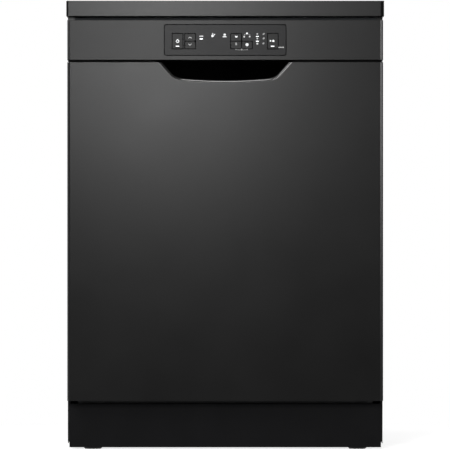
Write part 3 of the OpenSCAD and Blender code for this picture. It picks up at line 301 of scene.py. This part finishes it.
stainlessUpright = brushedStainless("brushedStainlessUpright", [2])
stainlessAcross = brushedStainless("brushedStainlessAcross", [1, 2])
zincSheet = galvanisedSheet()
zincPlate = zincPlatedSteel()
rubber = epdmRubber()
wireCoat = nylonCoatedWire()
solderMask = circuitBoard()
inkWhite = printedInk("screenInkWhite", "#c2c2c2", "#d8dadc")
inkPale = printedInk("screenInkPale", "#acacac", "#c2c4c6")
inkGrey = printedInk("screenInkGrey", "#929292", "#a8a8a8")
inkDim = printedInk("screenInkDim", "#626262", "#787878")
lit = litLightGuide()
print("materials made:", len(bpy.data.materials))

finishes = {
    paint: ["side_panel_left", "side_panel_right"],
    zincSheet: ["rear_panel"],
    zincPlate: ["rear_screws", "hinge_brackets", "hinge_arms", "door_springs"],
    blackPlastic: ["base_tray", "door_lock", "foot_front_left", "foot_front_right", "foot_rear_left",
                   "foot_rear_right"],
    pocketBlackAndPaintedShade: ["handle_pocket"],
    primer: ["front_crossbar"],
    stainlessUpright: ["tub_wrapper", "tub_back", "door_inner_liner"],
    stainlessAcross: ["tub_floor", "filter_plate", "upper_rails"],
    rubber: ["door_gasket"],
    wireCoat: ["lower_rack", "folding_tines", "upper_rack", "cup_shelf"],
    greyPlastic: ["cutlery_basket", "lower_wheels_front", "lower_wheels_rear", "rack_rollers", "wall_rollers",
                  "upper_feed_tube", "spray_feed_pipe", "sump_housing", "coarse_filter", "drain_hose"],
    whitePlastic: ["circulation_pump", "drain_pump", "water_softener", "inlet_valve", "inlet_chamber"],
    solderMask: ["control_board"],
}
for material, names in finishes.items():
    for name in names:
        nodes[name].data.materials.clear()
        nodes[name].data.materials.append(material)

softening = {"steps": 3, "angle": 35}    # edges that turn by more degrees than this are softened
weld = {"distance": 0.01 * mm, "flatAngle": 1}
cornerTurn = 1.0    # an edge that turns by more radians than this is a corner


def finishPiece(name, bm, materials, body, stands=(), bevel=None, wall=None, sharp=35):
    # turns a bmesh into a piece that rides on a body; edges stay crisp from a turn of sharp degrees on
    mesh = bpy.data.meshes.new(name)
    bm.to_mesh(mesh)
    bm.free()
    piece = bpy.data.objects.new(name, mesh)
    bpy.context.scene.collection.objects.link(piece)
    for material in materials:
        mesh.materials.append(material)
    if wall:
        solid = piece.modifiers.new("wall", "SOLIDIFY")
        solid.thickness = wall
        solid.offset = -1.0
        solid.use_even_offset = True
    if bevel:
        soft = piece.modifiers.new("softEdges", "BEVEL")
        soft.width = bevel
        soft.segments = softening["steps"]
        soft.limit_method = "ANGLE"
        soft.angle_limit = math.radians(softening["angle"])
    mesh.shade_smooth()
    mesh.set_sharp_from_angle(angle=math.radians(sharp))
    level = piece.modifiers.new("levelFaces", "WEIGHTED_NORMAL")    # large flat faces stay flat beside rounds
    level.keep_sharp = True
    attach(piece, body)
    if stands:
        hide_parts(*stands)


def cadCopy(name):
    # a welded copy of a CAD node, its flat faces whole again
    bm = bmesh.new()
    bm.from_mesh(nodes[name].data)
    bmesh.ops.remove_doubles(bm, verts=bm.verts, dist=weld["distance"])
    bmesh.ops.dissolve_limit(bm, angle_limit=math.radians(weld["flatAngle"]), verts=bm.verts, edges=bm.edges)
    return bm


def along(edge, axis):
    # true for an edge that runs along one axis
    run = edge.verts[1].co - edge.verts[0].co
    return abs(run[axis]) > 0.999 * run.length > 0


def liesAt(edge, axis, place):
    # true for an edge with both its ends at one place on an axis
    return all(abs(v.co[axis] - place) < tiny for v in edge.verts)


def rounded(bm, edges, width, segments):
    bmesh.ops.bevel(bm, geom=edges, offset=width, segments=segments, profile=0.5, affect="EDGES", material=-1)


def cut(bm, point, normal, **settings):
    bmesh.ops.bisect_plane(bm, geom=bm.verts[:] + bm.edges[:] + bm.faces[:], plane_co=point, plane_no=normal,
                           **settings)


def addBlock(bm, lo, hi):
    place = Matrix.Translation((lo + hi) / 2) @ Matrix.Diagonal((*(hi - lo), 1))
    bmesh.ops.create_cube(bm, size=1, matrix=place)


def shift(bm, grown, step):
    # moves the new points of an extrusion
    bmesh.ops.translate(bm, verts=[g for g in grown if isinstance(g, bmesh.types.BMVert)], vec=step)


slab = {"cornerRadius": 4 * mm, "cornerSteps": 6, "topEdge": 0.4 * mm, "underEdge": 1.8 * mm, "edgeSteps": 3,
        "rim": 22 * mm, "hollow": 6 * mm, "leftBand": 3.2 * mm, "rightBand": 6.4 * mm,
        "flatUp": 0.95, "tiltedUp": 0.2, "flatDown": -0.9}


def makeWorktop():
    lo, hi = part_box("worktop")
    bm = bmesh.new()
    addBlock(bm, lo, hi)
    rounded(bm, [e for e in bm.edges if along(e, 2)], slab["cornerRadius"], slab["cornerSteps"])
    for z, width in ((hi.z, slab["topEdge"]), (lo.z, slab["underEdge"])):
        rounded(bm, [e for e in bm.edges if liesAt(e, 2, z)], width, slab["edgeSteps"])
    under = min(bm.faces, key=lambda f: f.calc_center_median().z)
    bmesh.ops.inset_region(bm, faces=[under], thickness=slab["rim"])
    shift(bm, bmesh.ops.extrude_face_region(bm, geom=[under])["geom"], (0, 0, slab["hollow"]))
    bmesh.ops.delete(bm, geom=[under], context="FACES")
    left, right = lo.x + slab["leftBand"], hi.x - slab["rightBand"]
    for x in (left, right):
        cut(bm, (x, 0, 0), (1, 0, 0))
    bmesh.ops.recalc_face_normals(bm, faces=bm.faces)
    for face in bm.faces:    # painted shade: the ends, the right one wider, and the upper edge take a dull band instead of laminate
        up = face.normal.z
        atEnd = not left < face.calc_center_median().x < right
        if up > slab["flatUp"]:
            face.material_index = 2
        elif up > slab["tiltedUp"] or atEnd and up > slab["flatDown"]:
            face.material_index = 1
    finishPiece("worktopSlab", bm, [laminateFront, edgeBandAndPaintedShade, laminateTop], "cabinet",
                ["worktop"])


makeWorktop()
print("worktop made")

# the upright edges of the door and the console turn in two flats; tilts are sideways parts of a normal
turned = {"size": 5.2 * mm, "foldX": 2.2 * mm, "foldY": 1.2 * mm, "ring": 0.9, "reach": 8.5 * mm, "lean": 0.4,
          "rearward": 0.1, "frontTilt": (0.25, 0.68), "outerTilt": 0.75, "sideTilt": 0.95}


def twoFlats(bm, half, front, radius):
    # the points of an upright edge, rounded by the radius, draw together into two flats
    profile = [(half - turned["size"], front), (half - turned["foldX"], front + turned["foldY"]),
               (half, front + turned["size"])]
    for v in bm.verts:
        x, y = abs(v.co.x) - (half - radius), front + radius - v.co.y
        if min(x, y) > -tiny and math.hypot(x, y) > radius * turned["ring"]:
            newX, v.co.y = profile[round(math.atan2(x, y) / (math.pi / 4))]
            v.co.x = math.copysign(newX, v.co.x)
    bmesh.ops.remove_doubles(bm, verts=bm.verts, dist=tiny)
    bmesh.ops.recalc_face_normals(bm, faces=bm.faces)


def paintTurns(bm, half):
    # painted highlight (slot 1) on the front flat, painted shade (slot 2) on the outer flat and the side, but
    # the left outer flat keeps the highlight
    low, high = turned["frontTilt"]
    for face in bm.faces:
        tilt = abs(face.normal.x)
        upright = abs(face.normal.z) < turned["lean"] and face.normal.y < turned["rearward"]
        if abs(face.calc_center_median().x) > half - turned["reach"] and upright:
            if low < tilt < high:
                face.material_index = 1
            elif tilt > turned["outerTilt"]:
                face.material_index = 1 if -turned["sideTilt"] < face.normal.x < 0 else 2


door = {
    "lip": 9 * mm, "return": 20 * mm, "wall": 1.0 * mm, "edgeRound": 0.8 * mm, "edgeSteps": 3,
    "recessTop": 118.6 * mm, "recessLow": 92 * mm, "recessHeight": 33.7 * mm, "recessSag": 2.5 * mm,
    "recessRound": 26 * mm, "roundReach": 0.45, "steps": 12, "rimRound": 5.6 * mm, "rimSteps": 5,
    "heelFrom": 30 * mm, "heelRise": 30 * mm, "heelRun": 18 * mm,
}


def curvePoint(a, b, c, t):
    # a point of the curve that starts at a, heads for b and ends at c
    return a * (1 - t) ** 2 + b * 2 * t * (1 - t) + c * t ** 2


def recessEdge(topZ):
    # right half of the hand recess's edge, from the panel's top edge down to the middle
    reach, steps = door["recessRound"] * door["roundReach"], door["steps"]
    slope = (door["recessTop"] - door["recessLow"]) / door["recessHeight"]
    cornerZ = topZ - door["recessHeight"] + door["recessSag"]
    start = Vector((door["recessLow"] + slope * reach, cornerZ + reach))
    corner = Vector((door["recessLow"], cornerZ))
    end = Vector((door["recessLow"] - door["recessRound"], cornerZ))
    points = [Vector((door["recessTop"], topZ))]
    points += [curvePoint(start, corner, end, i / steps) for i in range(steps + 1)]
    for i in range(1, steps // 2 + 1):
        x = end.x * (1 - 2 * i / steps)
        points.append(Vector((x, cornerZ - door["recessSag"] * (1 - (x / end.x) ** 2))))
    return points


def inRecess(edge, topZ):
    low = topZ - 2 * door["recessHeight"]
    return all(abs(v.co.x) < door["recessTop"] + tiny and v.co.z > low for v in edge.verts)


def doorSheet(lo, hi):
    # the pressed sheet: a front with the recess cut out, and its edges turned back
    right = recessEdge(hi.z)
    left = [Vector((-p.x, p.y)) for p in reversed(right[:-1])]
    foot, top = [Vector((lo.x, lo.z)), Vector((hi.x, lo.z)), Vector((hi.x, hi.z))], [Vector((lo.x, hi.z))]
    bm = bmesh.new()
    bm.faces.new([bm.verts.new((p.x, lo.y, p.y)) for p in foot + right + left + top])

    def turnBack(edges, depth):
        shift(bm, bmesh.ops.extrude_edge_only(bm, edges=edges)["geom"], (0, depth, 0))

    turnBack(bm.edges[:], door["lip"])
    turnBack([e for e in bm.edges if liesAt(e, 1, lo.y + door["lip"]) and not inRecess(e, hi.z)],
             door["return"] - door["lip"])
    turnBack([e for e in bm.edges if liesAt(e, 1, lo.y + door["return"]) and along(e, 2)],
             hi.y - lo.y - door["return"])
    bmesh.ops.recalc_face_normals(bm, faces=bm.faces)
    return bm


rimFinish = {"below": 8 * mm, "beside": 7 * mm, "rounded": (0.1, 0.995), "nearlyFlat": 0.98, "shaded": 1.2,
             "level": 0.2, "right": -0.35, "topEdge": 0.2}


def paintRim(bm, topZ):
    # painted highlights (slot 1, and slot 3 stronger) and painted shade (slot 2) on the round along the
    # recess;
    # lean is how far a face turns to the left or right
    low, high = rimFinish["rounded"]
    for face in bm.faces:
        middle, forward = face.calc_center_median(), -face.normal.y
        if not low < forward < high or middle.z < topZ - door["recessHeight"] - rimFinish["below"]:
            continue
        if abs(middle.x) < door["recessTop"] + rimFinish["beside"] and middle.z < topZ - door["edgeRound"]:
            lean = face.normal.x / max(abs(face.normal.z), 0.01)
            if lean > rimFinish["shaded"]:
                face.material_index = 2    # painted shade on the left slope
            else:    # painted highlight on the rest, the stronger one on the right slope over its whole width
                turnsIn = forward < rimFinish["nearlyFlat"] and lean < rimFinish["level"]
                face.material_index = 3 if lean < rimFinish["right"] or turnsIn else 1
        elif face.normal.z > rimFinish["topEdge"]:
            face.material_index = 1    # painted highlight on the top edge beside the recess


def makeDoorSkin():
    lo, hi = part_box("door_outer_panel")
    bm = doorSheet(lo, hi)
    corners = [e for e in bm.edges if along(e, 2) and liesAt(e, 1, lo.y)
               and abs(e.verts[0].co.x) > hi.x - tiny]
    rounded(bm, corners, turned["size"], 2)
    twoFlats(bm, hi.x, lo.y, turned["size"])

    def frontEdges():
        return [e for e in bm.edges if len(e.link_faces) == 2 and e.calc_face_angle() > cornerTurn
                and not along(e, 1) and all(v.co.y < lo.y + turned["size"] + tiny for v in e.verts)]

    rounded(bm, [e for e in frontEdges() if inRecess(e, hi.z)], door["rimRound"], door["rimSteps"])
    rounded(bm, [e for e in frontEdges() if not inRecess(e, hi.z)], door["edgeRound"], door["edgeSteps"])
    cut(bm, (0, lo.y + door["heelFrom"], lo.z), (0, door["heelRise"], -door["heelRun"]),
        clear_outer=True)    # the lower rear corner goes, to clear the plinth
    bmesh.ops.recalc_face_normals(bm, faces=bm.faces)
    paintTurns(bm, hi.x)
    paintRim(bm, hi.z)
    finishPiece("doorSkin", bm, [paint, highlightPaint, shadePaint, strongHighlightPaint], "door",
                ["door_outer_panel"], wall=door["wall"], sharp=20)


makeDoorSkin()

gapStrip = {"from": 129.2 * mm, "front": 9 * mm, "depth": 6 * mm, "overlap": 0.6 * mm, "round": 0.8 * mm,
            "seam": 0.6 * mm, "seamReach": 128 * mm, "seamDepth": 4 * mm}


def makeGapStrips():
    # dark foam strips of painted shade fill the slot between the console and the door's steel, and the seam
    # over the hand pocket
    panelLo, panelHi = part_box("door_outer_panel")
    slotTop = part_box("control_console")[0].z
    y, start, end = panelLo.y + gapStrip["front"], gapStrip["from"], panelHi.x - turned["size"] / 2
    bm = bmesh.new()
    for x0, x1 in ((-end, -start), (start, end)):
        addBlock(bm, Vector((x0, y, panelHi.z - gapStrip["overlap"])),
                 Vector((x1, y + gapStrip["depth"], slotTop + gapStrip["overlap"])))
    rounded(bm, [e for e in bm.edges if along(e, 0)], gapStrip["round"], 2)
    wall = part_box("handle_pocket")[1]
    addBlock(bm, Vector((-gapStrip["seamReach"], wall.y - gapStrip["seamDepth"], wall.z - gapStrip["seam"])),
             Vector((gapStrip["seamReach"], wall.y, slotTop + gapStrip["seam"])))
    finishPiece("gapStrips", bm, [slotShadeFoam], "door")


makeGapStrips()
print("door skin made")

plinth = {"drop": 2.4 * mm, "edge": 1.2 * mm}


def makePlinth():
    # its lower edge hangs a little further down than the steel behind it
    bm = cadCopy("plinth")
    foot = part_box("plinth")[0].z
    bmesh.ops.translate(bm, verts=[v for v in bm.verts if v.co.z < foot + tiny], vec=(0, 0, -plinth["drop"]))
    finishPiece("plinthSheet", bm, [plinthPaint], "cabinet", ["plinth"], bevel=plinth["edge"])


makePlinth()

console = {"openingRound": 4.4 * mm, "openingSteps": 5, "openingFit": 1 * mm, "edge": 0.5 * mm,
           "edgeSteps": 3, "shellRound": 8 * mm, "nearlyFlat": 0.98, "faces": 0.9, "tilted": 0.1,
           "sloped": 0.2}


def makeConsole():
    bm = cadCopy("control_console")
    lo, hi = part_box("control_insert")
    fit = console["openingFit"]
    corners = [e for e in bm.edges if along(e, 1)
               and min(abs(e.verts[0].co.x - x) for x in (lo.x, hi.x)) < fit
               and min(abs(e.verts[0].co.z - z) for z in (lo.z, hi.z)) < fit]
    rounded(bm, corners, console["openingRound"], console["openingSteps"])
    foot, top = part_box("control_console")
    twoFlats(bm, top.x, foot.y, console["shellRound"])
    for z in (foot.z, top.z):
        edges = [e for e in bm.edges if liesAt(e, 2, z) and not along(e, 1)
                 and all(v.co.y < foot.y + turned["size"] + tiny for v in e.verts)]
        rounded(bm, edges, console["edge"], console["edgeSteps"])
    paintTurns(bm, top.x)
    for face in bm.faces:
        middle, forward, up = face.calc_center_median(), -face.normal.y, face.normal.z
        inOpening = lo.x < middle.x < hi.x and lo.y + fit < middle.y < hi.y + fit
        if forward > console["faces"] and inOpening:
            face.material_index = 3    # painted shade on the opening's floor, which shows only as the dark line round window and keys
        elif console["tilted"] < forward < console["nearlyFlat"] and abs(up) > console["sloped"]:
            face.material_index = 1 if up > 0 else 3    # painted highlight on the upper edge, painted shade on the lower one
        elif up < -console["faces"]:
            face.material_index = 3    # painted shade on the underside too
    finishPiece("consoleShell", bm, [satinAbs, highlightAbs, shadeAbs, pocketBlackAndPaintedShade], "door",
                ["control_console"], bevel=console["edge"], sharp=20)


makeConsole()

window = {"gap": 1.0 * mm, "keyGap": 1.25 * mm, "keyRim": 0.5 * mm, "cornerRound": 4 * mm, "cornerSteps": 6,
          "holeRound": 1.8 * mm, "holeSteps": 4, "edge": 0.35 * mm, "thickness": 1.8 * mm}
keyNames = ["power_key", "program_up_key", "program_down_key", "half_load_key", "extra_dry_key", "delay_key",
            "start_key"]


def makeWindow():
    # a plate cut along the sides of the key openings, then emptied inside them
    lo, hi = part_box("control_insert")
    front, inward = lo.y, Vector((window["gap"], 0, window["gap"]))
    lo, hi = lo + inward, hi - inward
    grow = window["keyGap"] - window["keyRim"]
    holes = []
    for name in keyNames:
        a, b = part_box(name)
        holes.append((a.x - grow, b.x + grow, a.z - grow, b.z + grow))
    bm = bmesh.new()
    middle = Matrix.Translation(((lo.x + hi.x) / 2, front, (lo.z + hi.z) / 2))
    reach = Matrix.Diagonal(((hi.x - lo.x) / 2, (hi.z - lo.z) / 2, 1, 1))
    bmesh.ops.create_grid(bm, x_segments=1, y_segments=1, size=1,
                          matrix=middle @ Matrix.Rotation(math.pi / 2, 4, "X") @ reach)
    for x0, x1, z0, z1 in holes:
        for x in (x0, x1):
            cut(bm, (x, 0, 0), (1, 0, 0), dist=weld["distance"])
        for z in (z0, z1):
            cut(bm, (0, 0, z), (0, 0, 1), dist=weld["distance"])
    inside = []
    for face in bm.faces:
        middle = face.calc_center_median()
        if any(x0 < middle.x < x1 and z0 < middle.z < z1 for x0, x1, z0, z1 in holes):
            inside.append(face)
    bmesh.ops.delete(bm, geom=inside, context="FACES")
    grown = bmesh.ops.extrude_face_region(bm, geom=bm.faces[:], use_keep_orig=True)["geom"]
    shift(bm, grown, (0, window["thickness"], 0))
    bmesh.ops.recalc_face_normals(bm, faces=bm.faces)

    def corners():
        return [e for e in bm.edges if along(e, 1) and e.calc_face_angle() > cornerTurn]

    outer = [e for e in corners() if abs(abs(e.verts[0].co.x) - hi.x) < tiny]
    rounded(bm, outer, window["cornerRound"], window["cornerSteps"])
    rounded(bm, corners(), window["holeRound"], window["holeSteps"])
    finishPiece("windowPlate", bm, [windowAbs], "door", ["control_insert"],
                bevel=window["edge"])


makeWindow()

cap = {"cornerRound": 1.6 * mm, "cornerSteps": 4, "edge": 0.45 * mm}


def makeKey(name):
    bm = cadCopy(name)
    lo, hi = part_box(name)
    reach = window["keyRim"] + tiny
    corners = [e for e in bm.edges if along(e, 1) and min(v.co.y for v in e.verts) < lo.y + tiny
               and min(e.verts[0].co.x - lo.x, hi.x - e.verts[0].co.x) < reach
               and min(e.verts[0].co.z - lo.z, hi.z - e.verts[0].co.z) < reach]
    rounded(bm, corners, cap["cornerRound"], cap["cornerSteps"])
    for face in bm.faces:    # painted shade on the rim behind the window and on the cap's sides
        if face.calc_center_median().y > lo.y + tiny:
            face.material_index = 1
    words = name.split("_")
    newName = words[0] + "".join(w.capitalize() for w in words[1:-1]) + "Cap"
    finishPiece(newName, bm, [keyAbs, pocketBlackAndPaintedShade], name, [name], bevel=cap["edge"])


for name in keyNames:
    makeKey(name)
print("console, window and keys made")

# every sign is drawn flat, facing forward, round its place; sizes are in millimetres, turns in degrees
signStyle = {"lift": 0.12 * mm, "thickness": 0.2 * mm, "circleSteps": 24, "cornerSteps": 4, "bowlNotch": 0.55,
             "dropTip": 0.45, "dropLine": 0.42, "strokeRound": 0.45, "leafLength": 1.5, "leafRound": 0.35,
             "leafTurn": 40, "chevronRise": 0.4, "chevronLine": 1.3}


def flatFace(bm, place, outline):
    bm.faces.new([bm.verts.new(place @ Vector((x * mm, y * mm, 0))) for x, y in outline])


def disc(bm, place, radius):
    return bmesh.ops.create_circle(bm, cap_ends=True, segments=signStyle["circleSteps"], radius=radius * mm,
                                   matrix=place)["verts"]


def bowl(bm, place, radius):
    # a disc whose upper half sinks into a shallow notch
    middle = place.translation
    for v in disc(bm, place, radius):
        if v.co.z > middle.z:
            v.co.z = middle.z + abs(v.co.x - middle.x) * signStyle["bowlNotch"]


def drop(bm, place, radius):
    # a ring with a tip at its top
    made = disc(bm, place, radius)
    max(made, key=lambda v: v.co.z).co.z += radius * mm * signStyle["dropTip"]
    face = made[0].link_faces[0]
    bmesh.ops.inset_region(bm, faces=[face], thickness=radius * mm * signStyle["dropLine"], use_boundary=True)
    bmesh.ops.delete(bm, geom=[face], context="FACES")


def bar(bm, place, wide, high, corner, turn=0):
    reach = Matrix.Diagonal((wide * mm / 2, high * mm / 2, 1, 1))
    made = bmesh.ops.create_grid(bm, x_segments=1, y_segments=1, size=1,
                                 matrix=place @ Matrix.Rotation(math.radians(turn), 4, "Z") @ reach)["verts"]
    bmesh.ops.bevel(bm, geom=made, offset=corner * mm, segments=signStyle["cornerSteps"], profile=0.5,
                    affect="VERTICES", material=-1)


def stroke(bm, place, wide, high, turn):
    bar(bm, place, wide, high, high * signStyle["strokeRound"], turn)


def leaf(bm, place, size):
    bar(bm, place, size * signStyle["leafLength"], size, size * signStyle["leafRound"], signStyle["leafTurn"])


def play(bm, place, size):
    flatFace(bm, place, [(-size / 2, -size / 2), (size / 2, 0), (-size / 2, size / 2)])


def chevron(bm, place, size, way):
    # an arrow head that points up or down
    rise, line = size * signStyle["chevronRise"] * way / 2, signStyle["chevronLine"] * way
    for end in (-size / 2, size / 2):
        flatFace(bm, place, [(0, rise), (end, -rise), (end, -rise - line), (0, rise - line)])


# each piece of printing: what it is on, its ink, and its shapes, placed from the middle of what it is on
signs = {
    "powerSign": ("power_key", inkWhite, [(drop, -0.1, 0.05, 3.1)]),
    "upSign": ("program_up_key", inkGrey, [(chevron, -0.2, 0, 6.0, 1)]),
    "downSign": ("program_down_key", inkGrey, [(chevron, -0.2, 0.3, 6.0, -1)]),
    "halfLoadSign": ("half_load_key", inkWhite, [(bowl, 0.4, 2.0, 2.4)]),
    "extraDrySign": ("extra_dry_key", inkDim, [(bar, 0.1, 2.1, 3.6, 5.2, 1.2)]),
    "delaySign": ("delay_key", inkPale, [(disc, 0.1, 0.7, 2.9)]),
    "startSign": ("start_key", inkWhite, [(play, -3.7, 0.55, 3.4), (disc, 1.0, 0.55, 2.0)]),
    "programSigns": ("control_insert", inkWhite, [
        (disc, -23.6, 7.8, 2.5), (stroke, -23.2, 10.8, 3.8, 1.2, 100), (stroke, -20.7, 9.8, 4.4, 1.3, 40),
        (disc, -1.0, 9.8, 2.2), (bar, -1.0, 6.0, 7.6, 1.5, 0.7), (bar, -1.0, 7.8, 3.8, 3.0, 0.4),
        (disc, 41.0, 12.4, 1.7)]),
    "optionSigns": ("control_insert", inkGrey, [
        (disc, 35.8, 6.3, 1.6), (disc, 46.0, 6.3, 1.6), (bar, -45.0, 7.0, 7.4, 2.4, 1.0),
        (disc, 60.4, 11.4, 1.4), (disc, 60.4, 2.6, 1.5), (disc, 60.4, -6.8, 1.9),
        (bar, 101.4, -13.8, 2.6, 1.7, 0.4), (bar, 104.9, -13.8, 2.8, 1.7, 0.4),
        (bar, 108.9, -13.8, 3.2, 1.7, 0.4)]),
    "dimSigns": ("control_insert", inkDim, [
        (stroke, 36.8, 10.4, 4.6, 0.9, 35), (stroke, 45.4, 10.4, 4.6, 0.9, -35),
        (leaf, 72.4, 11.4, 3.0), (leaf, 72.4, 3.0, 3.0), (leaf, 72.0, -6.2, 2.8),
        (stroke, 24.4, -18.6, 8.0, 0.7, -3), (stroke, 37.4, -18.6, 8.0, 0.7, 3),
        (stroke, 20.0, -17.7, 2.6, 0.9, 60), (stroke, 41.8, -17.7, 2.6, 0.9, 120), (disc, 30.9, -18.0, 1.7)]),
    "powerLamp": ("power_key", lit, [(bar, -0.2, -9.45, 6.6, 1.3, 0.5)]),
    "startLamp": ("start_key", lit, [(bar, -0.3, -9.45, 6.6, 1.3, 0.5)]),
    "programLamps": ("control_insert", lit, [
        (bar, -45.0, 2.0, 5.8, 1.7, 0.7), (bar, 60.4, 6.7, 5.2, 1.2, 0.5), (bar, 60.4, -2.3, 5.2, 1.3, 0.5)]),
}


def makeSign(name, holder, material, shapes):
    lo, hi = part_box(holder)
    bm = bmesh.new()
    for shape, x, z, *sizes in shapes:
        middle = ((lo.x + hi.x) / 2 + x * mm, lo.y - signStyle["lift"], (lo.z + hi.z) / 2 + z * mm)
        shape(bm, Matrix.Translation(middle) @ Matrix.Rotation(math.pi / 2, 4, "X"), *sizes)
    bmesh.ops.recalc_face_normals(bm, faces=bm.faces)
    bmesh.ops.reverse_faces(bm, faces=[f for f in bm.faces if f.normal.y > 0])
    body, slot = (holder, "console_plastic") if holder in keyNames else ("door", "window_plastic")
    finishPiece(name, bm, [material], body, wall=signStyle["thickness"])


for name, (holder, material, shapes) in signs.items():
    makeSign(name, holder, material, shapes)
print("signs and lamps made")

# CAD node: new name, material, body, slot and width of the softened edges
softPieces = {
    "lower_spray_arm": ("lowerArmShell", greyPlastic, "lower_spray_arm", "grey_plastic", 2.5 * mm),
    "upper_spray_arm": ("upperArmShell", greyPlastic, "upper_spray_arm", "grey_plastic", 2.5 * mm),
    "detergent_dispenser": ("dispenserHousing", whitePlastic, "door", "white_plastic", 0.8 * mm),
    "dispenser_lid": ("dispenserLid", whitePlastic, "dispenser_lid", "white_plastic", 0.8 * mm),
    "rinse_aid_cap": ("rinseAidCap", bluePlastic, "rinse_aid_cap", "blue_plastic", 0.8 * mm),
    "salt_cap": ("saltCap", greyPlastic, "salt_cap", "grey_plastic", 1.0 * mm),
}
for name, (newName, material, body, slot, width) in softPieces.items():
    finishPiece(newName, cadCopy(name), [material], body, [name], bevel=width)
print("softened pieces made")

# the floor lies along the view's lower edge
studio = {
    "fill": "#9a9a9a", "fillStrength": 0.4, "white": "#ffffff",
    "view": 846.2 * mm, "distance": 14.0, "sideStep": -0.35 * mm, "sensor": 36, "clip": 60,
    "floor": "#dcdcdc", "floorHalf": 12, "glow": 0.8, "shadowReach": (0.75, 1.5),
}
lamps = {    # place, aim, width and height in metres, power in watts
    "keyLamp": ((-0.16, -4.2, 0.98), (0, -0.3, 0.45), 0.25, 0.65, 72),
    "leftLamp": ((-1.3, -1.6, 1.65), (0, -0.3, 0.6), 0.6, 1.4, 36),
    "rightLamp": ((2.3, -2.2, 0.95), (0.3, -0.3, 0.5), 0.35, 1.0, 26),
    "topLamp": ((0, -1.2, 2.4), (0, -0.3, 0.6), 0.6, 0.8, 26),
}


def makeLamp(name, place, aim, wide, high, power):
    data = bpy.data.lights.new(name, "AREA")
    data.shape = "RECTANGLE"
    data.size = wide
    data.size_y = high
    data.energy = power
    lampObject = bpy.data.objects.new(name, data)
    bpy.context.scene.collection.objects.link(lampObject)
    lampObject.location = place
    lampObject.rotation_euler = (Vector(aim) - Vector(place)).to_track_quat("-Z", "Y").to_euler()
    lampObject.visible_camera = False


def whiteRays(tree):
    # 1 for the rays that should see the white background: camera, reflection and glass
    path = addNode(tree, "ShaderNodeLightPath").outputs
    seen = addNode(tree, "ShaderNodeMath", {"operation": "MAXIMUM"},
                   {0: path["Is Camera Ray"], 1: path["Is Glossy Ray"]}).outputs[0]
    return addNode(tree, "ShaderNodeMath", {"operation": "MAXIMUM"},
                   {0: seen, 1: path["Is Transmission Ray"]}).outputs[0]


def makeWorld():
    world = bpy.data.worlds.new("studio")
    bpy.context.scene.world = world
    world.use_nodes = True
    tree = world.node_tree
    tree.nodes.clear()
    fill = addNode(tree, "ShaderNodeBackground",
                   {"Color": hexColour(studio["fill"]), "Strength": studio["fillStrength"]})
    white = addNode(tree, "ShaderNodeBackground", {"Color": hexColour(studio["white"]), "Strength": 1.0})
    mix = addNode(tree, "ShaderNodeMixShader",
                  links={0: whiteRays(tree), 1: fill.outputs[0], 2: white.outputs[0]})
    addNode(tree, "ShaderNodeOutputWorld", links={"Surface": mix.outputs[0]})


def floorMaterial():
    # a pale floor that keeps the shadow near the machine and fades to plain white further out
    material = bpy.data.materials.new("paleFloor")
    material.use_nodes = True
    tree = material.node_tree
    tree.nodes.clear()
    white = hexColour(studio["white"])
    matt = addNode(tree, "ShaderNodeBsdfDiffuse", {"Color": hexColour(studio["floor"])})
    glow = addNode(tree, "ShaderNodeEmission", {"Color": white, "Strength": studio["glow"]})
    shadowed = addNode(tree, "ShaderNodeAddShader", links={0: matt.outputs[0], 1: glow.outputs[0]})
    plain = addNode(tree, "ShaderNodeEmission", {"Color": white, "Strength": 1.0})
    place = addNode(tree, "ShaderNodeTexCoord").outputs["Object"]
    away = addNode(tree, "ShaderNodeVectorMath", {"operation": "LENGTH"}, {0: place})
    near, far = studio["shadowReach"]
    fade = addNode(tree, "ShaderNodeMapRange", {"From Min": near, "From Max": far},
                   {"Value": away.outputs["Value"]})
    seen = addNode(tree, "ShaderNodeMixShader",
                   links={0: fade.outputs["Result"], 1: shadowed.outputs[0], 2: plain.outputs[0]})
    mix = addNode(tree, "ShaderNodeMixShader",
                  links={0: whiteRays(tree), 1: matt.outputs[0], 2: seen.outputs[0]})
    addNode(tree, "ShaderNodeOutputMaterial", links={"Surface": mix.outputs[0]})
    return material


def makeFloor():
    bm = bmesh.new()
    bmesh.ops.create_grid(bm, x_segments=1, y_segments=1, size=studio["floorHalf"])
    mesh = bpy.data.meshes.new("floor")
    bm.to_mesh(mesh)
    bm.free()
    mesh.materials.append(floorMaterial())
    floor = bpy.data.objects.new("floor", mesh)
    bpy.context.scene.collection.objects.link(floor)


def makeCamera():
    data = bpy.data.cameras.new("camera")
    data.sensor_width = studio["sensor"]
    data.lens = data.sensor_width * studio["distance"] / studio["view"]
    data.clip_end = studio["clip"]
    camera = bpy.data.objects.new("camera", data)
    bpy.context.scene.collection.objects.link(camera)
    front = cadBox[0][1]
    camera.location = (studio["sideStep"], front - studio["distance"], studio["view"] / 2)
    camera.rotation_euler = (math.radians(90), 0, 0)
    bpy.context.scene.camera = camera


makeWorld()
makeFloor()
for name, settings in lamps.items():
    makeLamp(name, *settings)
makeCamera()
bpy.context.scene.view_settings.view_transform = "Standard"
print("stage made")
